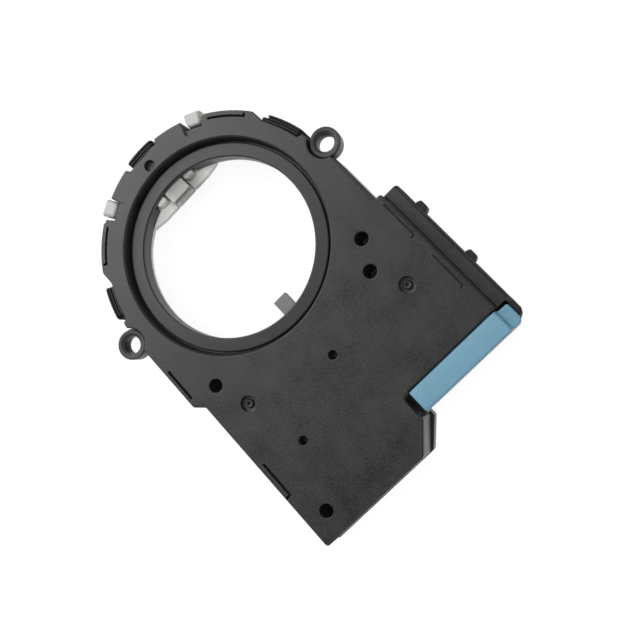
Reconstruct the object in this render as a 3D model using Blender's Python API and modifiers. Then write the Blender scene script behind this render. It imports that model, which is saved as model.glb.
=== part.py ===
"""Steering angle sensor with a gear-driven rotor, in metres, +Z up.

The front housing, a deep shell, faces up. The column passes through the round bore; the rotor ring in
the bore turns two measuring gears, whose magnets are read by two chips on the board in the rear tray.
Every outline is drawn around the bore axis, and the frame empty moves the whole sensor so that its
origin is under the middle of its outline, on the plane that it rests on.
"""
import math

import bmesh
import bpy

# Bore and rotor ring, the sizes that everything else stands round
BORE_RADIUS = 0.0221
BORE_DEPTH = 0.00435
BORE_DRAFT = 0.0001
ROTOR_WALL = 0.0034
FLANGE_GAP = 0.0005
FLANGE_RECESS = 0.00215
FLANGE_RADIUS = BORE_RADIUS + ROTOR_WALL
OPENING_RADIUS = FLANGE_RADIUS + FLANGE_GAP
OPENING_EDGE = 0.0003
UPPER_COLLAR = 0.00135
LOWER_COLLAR = 0.0012
SHROUD_THICKNESS = 0.0003
SHROUD_RIM = 0.0001
LOWER_COLLAR_STEP = 0.00055
LOWER_COLLAR_RADIUS = FLANGE_RADIUS - LOWER_COLLAR_STEP
DRIVER_SEAT_RADIUS = BORE_RADIUS + 0.0018
WINDOW_HALF = 0.0070
WINDOW_RADIUS = BORE_RADIUS + 0.0013
WINDOW_DROP = 0.00135

# Clearances
SEAM = 0.00025
PLAY = 0.0003
GEAR_PLAY = 0.00005

# Ring part of the case
FACE_THICKNESS = 0.0020
RING_WALL = 0.0068
CASE_RADIUS = OPENING_RADIUS + RING_WALL
FACE_EDGE = 0.00035
STEP_DOWN = 0.0013
WALL_STEP = 0.00045
WALL_DRAFT = 0.0002
SNAP_FLAT = CASE_RADIUS - 0.0016
SNAP_FLAT_HALF = 0.0046
SNAP_CORNER_HALF = 0.0053
HOOK_NOTCH_RADIUS = CASE_RADIUS - 0.0025
HOOK_NOTCH_START = 147.4
HOOK_NOTCH_END = 156.7
NOTCH_LEDGE_DROP = 0.0046
RECESS_RADIUS = CASE_RADIUS - 0.0039
RECESS_START = 146.8
RECESS_FLARE = 1.2
RECESS_END = 156.9
RECESS_DROP = 0.0008
INSET_RADIUS = CASE_RADIUS - 0.0018
INSET_START = 100.2
INSET_END = 118.0
INSET_OUT = 123.5
LOBE_RADIUS = CASE_RADIUS - 0.0006
LOBE_END = 99.0

# Box part of the case
BOX_WALL = 0.0016
BOX_LENGTH = 0.03507
BOX_RIGHT = CASE_RADIUS + BOX_LENGTH
SHOULDER_X = CASE_RADIUS - 0.0140
SHOULDER_Y = CASE_RADIUS + 0.0001
BOX_TOP = SHOULDER_Y + 0.00155
LOWER_EDGE = -(CASE_RADIUS - 0.0004)
BOX_BOTTOM = LOWER_EDGE + 0.00236
LOWER_STEP_START = CASE_RADIUS - 0.0105
LOWER_STEP_END = CASE_RADIUS - 0.0083
CHAMFER_LOW = 0.0002
CHAMFER_TOP = 0.0062
CHAMFER_X = BOX_RIGHT - 0.00627
CONNECTOR_SIDE = BOX_RIGHT - 0.01249
CAVITY_LEFT = OPENING_RADIUS + 0.0006

# Screw lugs
LUG_Y = CASE_RADIUS + 0.000875
LUG_RADIUS = 0.00365
LUG_HOLE = 0.0022
LUG_DROP = 0.0012
LUG_THICKNESS = 0.0032
LUG_GROOVE = 0.00045
LUG_GROOVE_DEPTH = 0.0016

# Gear train
ROTOR_TEETH = 75
GEAR_1_TEETH = 32
GEAR_2_TEETH = 28
PITCH_STEP = 0.00075
MODULE = 2 * (FLANGE_RADIUS + PITCH_STEP) / ROTOR_TEETH
PRESSURE_ANGLE = 20.0
TOOTH_THINNING = 0.00012
GEAR_1_BEARING = 2.0
GEAR_2_BEARING = -63.4
ROTOR_FACE_WIDTH = 0.0040
GEAR_FACE_WIDTH = 0.0032
GEAR_SHOULDER = 0.0008
GEAR_SHOULDER_RADIUS = 0.0060
GEAR_HUB_RADIUS = 0.0040
GEAR_HUB_HEIGHT = 0.0017
GEAR_BOSS_RADIUS = 0.0034
GEAR_BOSS_HEIGHT = 0.0008
GEAR_POST_RADIUS = 0.0020
GEAR_POST_CORE = 0.0011
GEAR_POST_TIP = 0.0012
MAGNET_RADIUS = 0.0025
MAGNET_HEIGHT = 0.0020

# White driver ring in the rotor
DRIVER_INNER = BORE_RADIUS + 0.0005
DRIVER_HEIGHT = 0.0016
WING_CHORD = BORE_RADIUS - 0.0036
WING_HALF = 0.0078
WING_END = 0.0116
WING_END_X = BORE_RADIUS - 0.0031
TONGUE_INNER = BORE_RADIUS - 0.00306
TONGUE_OUTER = BORE_RADIUS + 0.0005
TONGUE_HALF = 0.00297
TONGUE_RISE = 0.0024
TONGUE_POCKET_HALF = 0.0024
TONGUE_POCKET_DEPTH = 0.0015
TONGUE_LIP = 0.0003
TONGUE_POCKET_RISE = 0.0009
CHEEK_START = 0.0034
CHEEK_END = 0.0066
CHEEK_OUTER = BORE_RADIUS
CHEEK_TOP_WIDTH = 0.0016
CHEEK_FOOT_WIDTH = 0.0028
CHEEK_RISE = 0.0030
KEY_INNER = BORE_RADIUS - 0.0051
KEY_HALF = 0.00197
KEY_ROUND = 0.0006

# Bearing ring behind the rotor, with two snap hooks
RIB_WIDTH = 0.0014
LIP_WIDTH = 0.00165
CHAMBER_GAP = 0.00105
REAR_PLATE = 0.0020
REAR_PLATE_RADIUS = CASE_RADIUS - 0.0018
REAR_PLATE_GAP = 0.0004
LINK_GAP = 0.0006
BEARING_FLANGE = 0.0015
BEARING_FLANGE_RADIUS = REAR_PLATE_RADIUS - 0.0001
HOOK_ANGLE = 152.4
HOOK_INNER = HOOK_NOTCH_RADIUS + 0.0010
HOOK_OUTER = CASE_RADIUS + 0.0023
HOOK_ARM = 0.0020
HOOK_INNER_HALF = 0.00175
HOOK_OUTER_HALF = 0.00225
HOOK_PAD = 0.0022
HOOK_DROP = 0.0020
HOOK_ROUND = 0.0010
TONGUE_KEY_HALF = 0.0022
TONGUE_KEY_REACH = 0.0014

# Rear tray
FLOOR = 0.0020
RIM_HEIGHT = FLOOR + 0.0028
RIM_STEP = 0.00085
RIM_WALL = 0.0022
TRAY_RING_RADIUS = REAR_PLATE_RADIUS + 0.0005
TRAY_LEFT_TOP = SHOULDER_X - 0.0004
TRAY_LEFT_BOTTOM = LOWER_STEP_END - 0.0005
LEDGE_DEPTH = 0.00465
LEDGE_OUTER = BOX_TOP + LEDGE_DEPTH
LEDGE_DROP = 0.0050
LEDGE_WALL = 0.0015
LEDGE_END = CHAMFER_X - 0.0013
LEDGE_END_START = LEDGE_END - 0.0041
LEDGE_END_RISE = 0.0024
LEDGE_END_INNER = LEDGE_OUTER - 0.0013
LEDGE_GROOVES = (
    (BOX_TOP + 0.00045, BOX_TOP + 0.00095, 0.0008),
    (LEDGE_OUTER - 0.00075, LEDGE_OUTER - 0.00045, 0.0005),
)
POCKET_WALL = 0.0015
POCKET_DROP = 0.0060
BUMP_CENTRES = (SHOULDER_X + 0.0075, SHOULDER_X + 0.02375)
BUMP_HALF = 0.0015
BUMP_REACH = 0.0014
BUMP_LOW = 0.0055
BUMP_HIGH = 0.0098
PAD_RADIUS = 0.0020

# Snap loops of the rear tray on the ring part
LOOP_TOP_DROP = 0.0015
LOOP_WALL = 0.0021
LOOP_GAP = 0.0007
LOOP_SIDE_HALF = 0.0040
LOOP_PAIR_ANGLE = 110.0
LOOP_PAIR_HALF = 0.0041
LOOP_PAIR_WALL = 0.0016
LOOP_WINDOW_SIDE = 0.0012
LOOP_WINDOW_LOW = 0.0019
LOOP_WINDOW_HIGH = 0.0030
CATCH_CLEARANCE = 0.0005
CATCH_REACH = 0.0015

# Connector header
HEADER_RIGHT = CHAMFER_X - 0.0001
HEADER_LEFT = HEADER_RIGHT - 0.0145
HEADER_LOW_Y = CHAMFER_TOP + 0.0033
HEADER_HIGH_Y = BOX_TOP - 0.00145
HEADER_TOP_DROP = 0.0030
HEADER_BAR_LEFT = CONNECTOR_SIDE + 0.00032
HEADER_BAR_LOW_Y = CHAMFER_TOP + 0.0018
HEADER_BAR_HIGH_Y = BOX_TOP - 0.00035
HEADER_BAR_DROP = 0.0003
HEADER_BAR_ROUND = 0.0005
HEADER_BAR_DEPTH = 0.0047
HEADER_STEP_LEFT = HEADER_BAR_LEFT + 0.0003
HEADER_STEP_END = LEDGE_END_INNER - PLAY
HEADER_STEP_DROP = 0.0028
HEADER_STEP_DEPTH = 0.0092
HEADER_WALL = 0.0019
HEADER_BACK = 0.0030
PIN_COUNT = 8
PIN_MARGIN = 0.0011
PIN_ROW = HEADER_HIGH_Y - HEADER_LOW_Y - 2 * (HEADER_WALL + PIN_MARGIN)
PIN_PITCH = PIN_ROW / (PIN_COUNT - 1)
PIN_SIZE = 0.00064
PIN_HEIGHT = 0.0055
PIN_REACH = 0.0070
PIN_LEG_X = HEADER_LEFT - 0.0028
PIN_TAIL = 0.0010
PIN_HOLE_GAP = 0.0003

# Facets of the round shapes
RING_STEPS = 96
SMALL_STEPS = 24
TINY_STEPS = 12
ARC_STEP = 5.0
FLANK_POINTS = 3


def polar(radius, degrees, centre=(0.0, 0.0)):
    """The point at a radius and an angle around a centre."""
    turn = math.radians(degrees)
    return (centre[0] + radius * math.cos(turn), centre[1] + radius * math.sin(turn))


# Where the gears stand: each on a bearing from the one that drives it
ROTOR_TIP = MODULE * ROTOR_TEETH / 2 + MODULE
ROTOR_ROOT = ROTOR_TIP - 2.25 * MODULE
GEAR_1_DISTANCE = MODULE * (ROTOR_TEETH + GEAR_1_TEETH) / 2 + GEAR_PLAY
GEAR_2_DISTANCE = MODULE * (GEAR_1_TEETH + GEAR_2_TEETH) / 2 + GEAR_PLAY
GEAR_1_PLACE = polar(GEAR_1_DISTANCE, GEAR_1_BEARING)
GEAR_2_PLACE = polar(GEAR_2_DISTANCE, GEAR_2_BEARING, GEAR_1_PLACE)

# Holes and recesses seen in the face
DEEP_HOLES = (
    polar(CASE_RADIUS + 0.00095, 47.04),
    polar(CASE_RADIUS + 0.0036, 35.04),
    polar(CASE_RADIUS + 0.00081, -47.05),
    (BOX_RIGHT - 0.00567, BOX_BOTTOM + 0.00554),
)
DEEP_HOLE_RADIUS = 0.00165
DEEP_HOLE_DEPTH = 0.0090
DEEP_BOSS_RADIUS = 0.0031
STAKE_PLACES = ((CONNECTOR_SIDE - 0.01738, BOX_TOP - 0.00965), polar(CASE_RADIUS + 0.00542, -34.23))
STAKE_RECESS_RADIUS = 0.0019
STAKE_RECESS_DEPTH = 0.0012
STAKE_NUB_RADIUS = 0.0010
STAKE_NUB_HOLE = 0.0004
STAKE_NUB_HEIGHT = 0.0007
STAKE_BOSS_RADIUS = 0.0023
STAKE_PIN_RADIUS = 0.00095
RING_MARK_X = -OPENING_RADIUS - 0.0023
RING_MARK_RADIUS = 0.0014
RING_MARK_DEPTH = 0.0014
SLOT_WIDTH = 0.0008
SLOT_DEPTH = 0.0012
ARC_SLOT_RADIUS = CASE_RADIUS - 0.0014
ARC_SLOT_WIDTH = 0.0005
ARC_SLOT_START = 126.6
ARC_SLOT_END = 144.3
ARC_SLOT_TICK = 0.0006
STRAIGHT_SLOTS = (
    (SHOULDER_X - 0.0068, SHOULDER_X + 0.0022, LOWER_EDGE + 0.0012, 0.0, 1.0),
    (CHAMFER_X - 0.0173, CHAMFER_X - 0.0074, BOX_BOTTOM + 0.00154, -0.0013, 1.0),
    (SHOULDER_X + 0.0022, SHOULDER_X + 0.0124, BOX_TOP - 0.0007, -0.0009, 0.5),
    (CONNECTOR_SIDE - 0.01808, CONNECTOR_SIDE - 0.00818, BOX_TOP - 0.00095, -0.0009, 0.5),
)

# Gear bearing plate, its posts beside the gears that it carries
PLATE_THICKNESS = 0.0012
PLATE_POSTS = (
    (GEAR_1_PLACE[0] + 0.0150, GEAR_1_PLACE[1] - 0.0058),
    (GEAR_1_PLACE[0] - 0.0040, GEAR_1_PLACE[1] - 0.0142),
    (GEAR_1_PLACE[0] - 0.0035, GEAR_1_PLACE[1] + 0.0149),
    (GEAR_2_PLACE[0] + 0.0137, GEAR_2_PLACE[1] + 0.0010),
)
PLATE_POST_RADIUS = 0.0018
PLATE_PIN_RADIUS = 0.0009
PLATE_EAR_RADIUS = 0.0026
PLATE_HUB_EAR = 0.0065

# Circuit board and what is soldered to it
BOARD_THICKNESS = 0.0016
BOARD_REST = 0.00288
BOARD_GAP = 0.0005
BOARD_LEFT = CAVITY_LEFT + BOARD_GAP
BOARD_NOTCH_X = HEADER_LEFT - BOARD_GAP
BOARD_NOTCH_Y = CHAMFER_TOP + 0.0021
SENSOR_GAP = 0.0008
SOLDER_GAP = 0.00012
SENSOR_SIZE = (0.0050, 0.0040, 0.0010)
PARTS_ON_BOARD = (
    ("microcontroller", (CHAMFER_X - 0.0041, CHAMFER_TOP - 0.0117), (0.0070, 0.0070, 0.0010)),
    ("voltage_regulator", (BOX_RIGHT - 0.01087, BOX_BOTTOM + 0.00754), (0.0050, 0.0040, 0.0011)),
    ("capacitor_1", (BOX_RIGHT - 0.01637, BOX_BOTTOM + 0.00454), (0.0032, 0.0016, 0.0010)),
    ("capacitor_2", (BOX_RIGHT - 0.00537, CHAMFER_LOW - 0.0087), (0.0016, 0.0032, 0.0010)),
    ("capacitor_3", (CONNECTOR_SIDE - 0.01538, BOX_TOP - 0.01645), (0.0032, 0.0016, 0.0010)),
    ("capacitor_4", (CAVITY_LEFT + 0.0054, BOX_TOP - 0.00795), (0.0032, 0.0016, 0.0010)),
)

# Heights of the stack, from the tray's floor up to the face
BOARD_LOW = FLOOR + BOARD_REST
BOARD_TOP = BOARD_LOW + BOARD_THICKNESS
GEAR_LOW = BOARD_TOP + SOLDER_GAP + SENSOR_SIZE[2] + SENSOR_GAP
GEAR_SHOULDER_LOW = GEAR_LOW + GEAR_HUB_HEIGHT
GEAR_TEETH_LOW = GEAR_SHOULDER_LOW + GEAR_SHOULDER
GEAR_TEETH_TOP = GEAR_TEETH_LOW + GEAR_FACE_WIDTH
ROTOR_TEETH_TOP = GEAR_TEETH_TOP + (ROTOR_FACE_WIDTH - GEAR_FACE_WIDTH) / 2
ROTOR_TOP = ROTOR_TEETH_TOP + UPPER_COLLAR
FACE_TOP = ROTOR_TOP + FLANGE_RECESS
FACE_UNDER = FACE_TOP - FACE_THICKNESS
ROTOR_TEETH_LOW = ROTOR_TEETH_TOP - ROTOR_FACE_WIDTH
ROTOR_LOW = ROTOR_TEETH_LOW - LOWER_COLLAR
SHROUD_TOP = ROTOR_TEETH_TOP + SHROUD_THICKNESS
PLATE_TOP = GEAR_SHOULDER_LOW - PLAY
PLATE_LOW = PLATE_TOP - PLATE_THICKNESS
MAGNET_LOW = GEAR_LOW + PLAY
RING_FLOOR = PLATE_LOW - LINK_GAP
RING_LOW = RING_FLOOR - REAR_PLATE
RING_WALL_LOW = RING_FLOOR + SEAM
BOX_WALL_LOW = RIM_HEIGHT + SEAM
BEARING_TOP = RING_LOW - SEAM
BEARING_LOW = BEARING_TOP - BEARING_FLANGE
HOOK_TOP = FACE_TOP - HOOK_DROP
LEDGE_TOP = FACE_TOP - LEDGE_DROP
DRIVER_TOP = ROTOR_TOP - BORE_DEPTH - PLAY
DRIVER_LOW = DRIVER_TOP - DRIVER_HEIGHT
HEADER_LOW = FLOOR + PLAY
HEADER_TOP = FACE_TOP - HEADER_TOP_DROP
PIN_Z = HEADER_LOW + PIN_HEIGHT

# Radii worked out from the sizes above, and the middle of the whole outline
CHAMBER_RADIUS = ROTOR_TIP + CHAMBER_GAP
LIP_INNER = LOWER_COLLAR_RADIUS + PLAY
LIP_OUTER = LIP_INNER + LIP_WIDTH
SPLIT_RADIUS = TRAY_RING_RADIUS + RIM_WALL
LOOP_OUTER = SNAP_FLAT + LOOP_GAP + LOOP_WALL
SENSOR_LEFT = -LOOP_OUTER
SENSOR_RIGHT = BOX_RIGHT + RIM_STEP
SENSOR_FRONT = -LUG_Y - LUG_RADIUS
SENSOR_BACK = LEDGE_OUTER + BUMP_REACH
MIDDLE = ((SENSOR_LEFT + SENSOR_RIGHT) / 2, (SENSOR_FRONT + SENSOR_BACK) / 2)

MATERIALS = {
    "black_plastic": ((0.055, 0.057, 0.060), 0.55, 0.0),
    "rotor_plastic": ((0.045, 0.046, 0.050), 0.45, 0.0),
    "white_plastic": ((0.70, 0.70, 0.66), 0.45, 0.0),
    "blue_plastic": ((0.17, 0.34, 0.45), 0.5, 0.0),
    "board": ((0.02, 0.16, 0.07), 0.4, 0.0),
    "chip": ((0.02, 0.02, 0.022), 0.5, 0.0),
    "capacitor": ((0.45, 0.33, 0.22), 0.5, 0.0),
    "magnet": ((0.12, 0.12, 0.13), 0.35, 0.8),
    "tinned_metal": ((0.75, 0.74, 0.70), 0.3, 1.0),
}


def start_scene():
    """Empty the scene and make the two collections and the empties that carry the parts."""
    for old in list(bpy.data.objects):
        bpy.data.objects.remove(old, do_unlink=True)
    root = bpy.context.scene.collection
    parts = bpy.data.collections.new("steering_angle_sensor")
    cutters = bpy.data.collections.new("cutters")
    root.children.link(parts)
    root.children.link(cutters)
    frame = add_empty("sensor_frame", (-MIDDLE[0], -MIDDLE[1], 0.0), parts, None)
    axes = {"case": frame}
    axes["rotor"] = add_empty("rotor_axis", (0.0, 0.0, 0.0), parts, frame)
    axes["gear_1"] = add_empty("gear_1_axis", (*GEAR_1_PLACE, 0.0), parts, frame)
    axes["gear_2"] = add_empty("gear_2_axis", (*GEAR_2_PLACE, 0.0), parts, frame)
    return parts, cutters, axes


def add_empty(name, place, collection, parent):
    """Add an empty at a place under its parent."""
    empty = bpy.data.objects.new(name, None)
    empty.location = place
    empty.parent = parent
    collection.objects.link(empty)
    return empty


def make_materials():
    """Make one Principled material for each kind of stuff in the sensor."""
    made = {}
    for name, (colour, roughness, metallic) in MATERIALS.items():
        material = bpy.data.materials.new(name)
        material.use_nodes = True
        shader = material.node_tree.nodes["Principled BSDF"]
        shader.inputs["Base Color"].default_value = (*colour, 1.0)
        shader.inputs["Roughness"].default_value = roughness
        shader.inputs["Metallic"].default_value = metallic
        made[name] = material
    return made


def arc(radius, start, end, centre=(0.0, 0.0)):
    """Points along an arc, both ends included, a facet every few degrees."""
    count = max(1, math.ceil(abs(end - start) / ARC_STEP - 1e-9))
    return [polar(radius, start + (end - start) * i / count, centre) for i in range(count + 1)]


def rounded(corners):
    """An outline of (x, y, radius) corners, each with its fillet as a short arc."""
    outline = []
    for i, (x, y, radius) in enumerate(corners):
        before = corners[i - 1]
        after = corners[(i + 1) % len(corners)]
        if radius <= 0.0:
            outline.append((x, y))
            continue
        back = unit(before[0] - x, before[1] - y)
        ahead = unit(after[0] - x, after[1] - y)
        half = math.acos(max(-1.0, min(1.0, back[0] * ahead[0] + back[1] * ahead[1]))) / 2
        reach = radius / math.tan(half)
        middle = unit(back[0] + ahead[0], back[1] + ahead[1])
        centre = (x + middle[0] * radius / math.sin(half), y + middle[1] * radius / math.sin(half))
        first = (x + back[0] * reach, y + back[1] * reach)
        last = (x + ahead[0] * reach, y + ahead[1] * reach)
        start = math.degrees(math.atan2(first[1] - centre[1], first[0] - centre[0]))
        end = math.degrees(math.atan2(last[1] - centre[1], last[0] - centre[0]))
        sweep = (end - start + 180.0) % 360.0 - 180.0
        count = 4
        outline += [polar(radius, start + sweep * k / count, centre) for k in range(count + 1)]
    return outline


def unit(x, y):
    """The direction (x, y) at length one."""
    length = math.hypot(x, y)
    return (x / length, y / length)


def mitres(outline):
    """The outward mitre direction at each point of a counter-clockwise outline."""
    directions = []
    for i, point in enumerate(outline):
        before = outline[i - 1]
        after = outline[(i + 1) % len(outline)]
        a = unit(point[0] - before[0], point[1] - before[1])
        b = unit(after[0] - point[0], after[1] - point[1])
        one = (a[1], -a[0])
        two = (b[1], -b[0])
        share = max(0.4, 1.0 + one[0] * two[0] + one[1] * two[1])
        directions.append(((one[0] + two[0]) / share, (one[1] + two[1]) / share))
    return directions


def grown(outline, distance):
    """The outline moved outwards by a distance, or inwards by a negative one."""
    return [
        (point[0] + way[0] * distance, point[1] + way[1] * distance)
        for point, way in zip(outline, mitres(outline))
    ]


def finish_mesh(name, bm, parent, collection, material):
    """Turn a bmesh into an object that hangs on its parent."""
    mesh = bpy.data.meshes.new(name)
    bmesh.ops.recalc_face_normals(bm, faces=bm.faces)
    bm.to_mesh(mesh)
    bm.free()
    mesh.shade_smooth()
    mesh.set_sharp_from_angle(angle=math.radians(35.0))
    made = bpy.data.objects.new(name, mesh)
    made.parent = parent
    if material:
        mesh.materials.append(material)
    if collection:
        collection.objects.link(made)
    return made


def lofted(name, sections, parent, collection=None, material=None):
    """A solid through outlines at rising heights: sections are (height, outline) pairs."""
    bm = bmesh.new()
    height, outline = sections[0]
    lower = [bm.verts.new((x, y, height)) for x, y in outline]
    bm.faces.new(lower[::-1])
    for height, outline in sections[1:]:
        upper = [bm.verts.new((x, y, height)) for x, y in outline]
        for i in range(len(upper)):
            j = (i + 1) % len(upper)
            side = (lower[i], lower[j], upper[j], upper[i])
            if flat(side):
                bm.faces.new(side)
            else:
                bm.faces.new(side[:3])
                bm.faces.new((lower[i], upper[j], upper[i]))
        lower = upper
    bm.faces.new(lower)
    return finish_mesh(name, bm, parent, collection, material)


def flat(corners):
    """Whether four corners lie in one plane, to a ten-thousandth of a millimetre."""
    a, b, c, d = [corner.co for corner in corners]
    normal = (b - a).cross(c - a)
    return normal.length < 1e-14 or abs(normal.normalized().dot(d - a)) < 1e-7


def prism(name, outline, low, high, parent, collection=None, material=None):
    """A flat outline carried straight up from one height to another."""
    return lofted(name, [(low, outline), (high, outline)], parent, collection, material)


def block(name, low, high, parent, collection=None, material=None):
    """A box between two corners."""
    bm = bmesh.new()
    bmesh.ops.create_cube(bm, size=1.0)
    sides = [high[i] - low[i] for i in range(3)]
    middle = [(high[i] + low[i]) / 2 for i in range(3)]
    bmesh.ops.scale(bm, vec=sides, verts=bm.verts)
    bmesh.ops.translate(bm, vec=middle, verts=bm.verts)
    return finish_mesh(name, bm, parent, collection, material)


def disc(name, centre, radius, low, high, parent, steps=SMALL_STEPS, collection=None, material=None):
    """An upright cylinder."""
    bm = bmesh.new()
    bmesh.ops.create_cone(
        bm, cap_ends=True, segments=steps, radius1=radius, radius2=radius, depth=high - low
    )
    bmesh.ops.translate(bm, vec=(centre[0], centre[1], (low + high) / 2), verts=bm.verts)
    return finish_mesh(name, bm, parent, collection, material)


def turned(name, profile, parent, collection=None, material=None, steps=RING_STEPS):
    """A closed profile of (radius, height) points, run down its outer side, turned by a Screw."""
    mesh = bpy.data.meshes.new(name)
    points = [(radius, 0.0, height) for radius, height in profile]
    edges = [(i, (i + 1) % len(points)) for i in range(len(points))]
    mesh.from_pydata(points, edges, [])
    made = bpy.data.objects.new(name, mesh)
    made.parent = parent
    screw = made.modifiers.new("turn", "SCREW")
    screw.axis = "Z"
    screw.angle = math.tau
    screw.steps = steps
    screw.render_steps = steps
    screw.use_merge_vertices = True
    screw.merge_threshold = 0.00001
    screw.use_smooth_shade = False
    if material:
        mesh.materials.append(material)
    if collection:
        collection.objects.link(made)
    return made


def combine(target, operation, helpers, cutters):
    """Join or cut a part with a group of helper shapes in one exact Boolean step."""
    step = bpy.data.collections.new(f"{target.name}_{operation.lower()}_{len(target.modifiers)}")
    cutters.children.link(step)
    for helper in helpers:
        step.objects.link(helper)
        helper.hide_render = True
        helper.display_type = "WIRE"
    boolean = target.modifiers.new(operation.lower(), "BOOLEAN")
    boolean.operation = operation
    boolean.solver = "EXACT"
    boolean.operand_type = "COLLECTION"
    boolean.collection = step


def mirrored(points):
    """Points reflected in the X axis and put in reverse order."""
    return [(x, -y) for x, y in reversed(points)]


def ring_outline():
    """The left half of the face outline, from above the upper lug round to below the lower one."""
    upper = [polar(LOBE_RADIUS, LOBE_END - 3.0)]
    upper.append(polar(LOBE_RADIUS, LOBE_END))
    upper += arc(INSET_RADIUS, INSET_START, INSET_END)
    upper += arc(CASE_RADIUS, INSET_OUT, HOOK_NOTCH_START)
    notch = arc(HOOK_NOTCH_RADIUS, HOOK_NOTCH_START + 0.5, HOOK_NOTCH_END - 0.5)
    upper += notch
    snap = 180.0 - math.degrees(math.asin(SNAP_CORNER_HALF / CASE_RADIUS))
    upper += arc(CASE_RADIUS, HOOK_NOTCH_END, snap)
    upper.append((-SNAP_FLAT, SNAP_FLAT_HALF))
    return upper + mirrored(upper)


def face_outline(step=0.0):
    """The whole outline of the case, counter-clockwise, its box walls a step outside the face."""
    meet = polar(LOBE_RADIUS, 88.0)[0]
    right = rounded([
        (meet, LOWER_EDGE - step, 0.0),
        (LOWER_STEP_START, LOWER_EDGE - step, 0.0),
        (LOWER_STEP_END + step * 0.4, BOX_BOTTOM - step, 0.0),
        (BOX_RIGHT + step, BOX_BOTTOM - step, 0.0007),
        (BOX_RIGHT + step, CHAMFER_LOW + step * 0.4, 0.0),
        (CHAMFER_X + step * 0.4, CHAMFER_TOP + step, 0.0),
        (CONNECTOR_SIDE, CHAMFER_TOP + step, 0.0),
        (CONNECTOR_SIDE, BOX_TOP + step, 0.0006),
        (SHOULDER_X - step, BOX_TOP + step, 0.0007),
        (SHOULDER_X - step, SHOULDER_Y + step, 0.0),
        (meet, SHOULDER_Y + step, 0.0),
    ])
    return ring_outline() + right


def around(angle, pieces):
    """Turn helper shapes about the bore axis to their place on the ring."""
    for piece in pieces:
        piece.rotation_euler.z = math.radians(angle)
    return pieces


def slot_cutters(case):
    """The thin slots in the face: one arc on each side of the ring, and four straight ones."""
    low = FACE_TOP - SLOT_DEPTH
    high = FACE_TOP + SLOT_DEPTH
    inner = ARC_SLOT_RADIUS - ARC_SLOT_WIDTH / 2
    outer = ARC_SLOT_RADIUS + ARC_SLOT_WIDTH / 2
    tick = math.degrees(ARC_SLOT_WIDTH / ARC_SLOT_RADIUS)
    bow = arc(inner, ARC_SLOT_START, ARC_SLOT_END)
    bow += arc(outer, ARC_SLOT_END, ARC_SLOT_START + tick)
    bow += arc(outer + ARC_SLOT_TICK, ARC_SLOT_START + tick, ARC_SLOT_START)
    bow = bow[::-1]
    made = [prism("slot_upper", bow, low, high, case)]
    made.append(prism("slot_lower", mirrored(bow), low, high, case))
    for i, (start, end, y, foot, share) in enumerate(STRAIGHT_SLOTS):
        half = SLOT_WIDTH * 0.4 * share
        low = FACE_TOP - SLOT_DEPTH * share
        made.append(block(f"slot_{i}", (start, y - half, low), (end, y + half, high), case))
        if foot:
            tip = (end, y + half * 0.5, high)
            made.append(block(f"slot_tick_{i}", (end - 2 * half, y + foot, low), tip, case))
    return made


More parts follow.
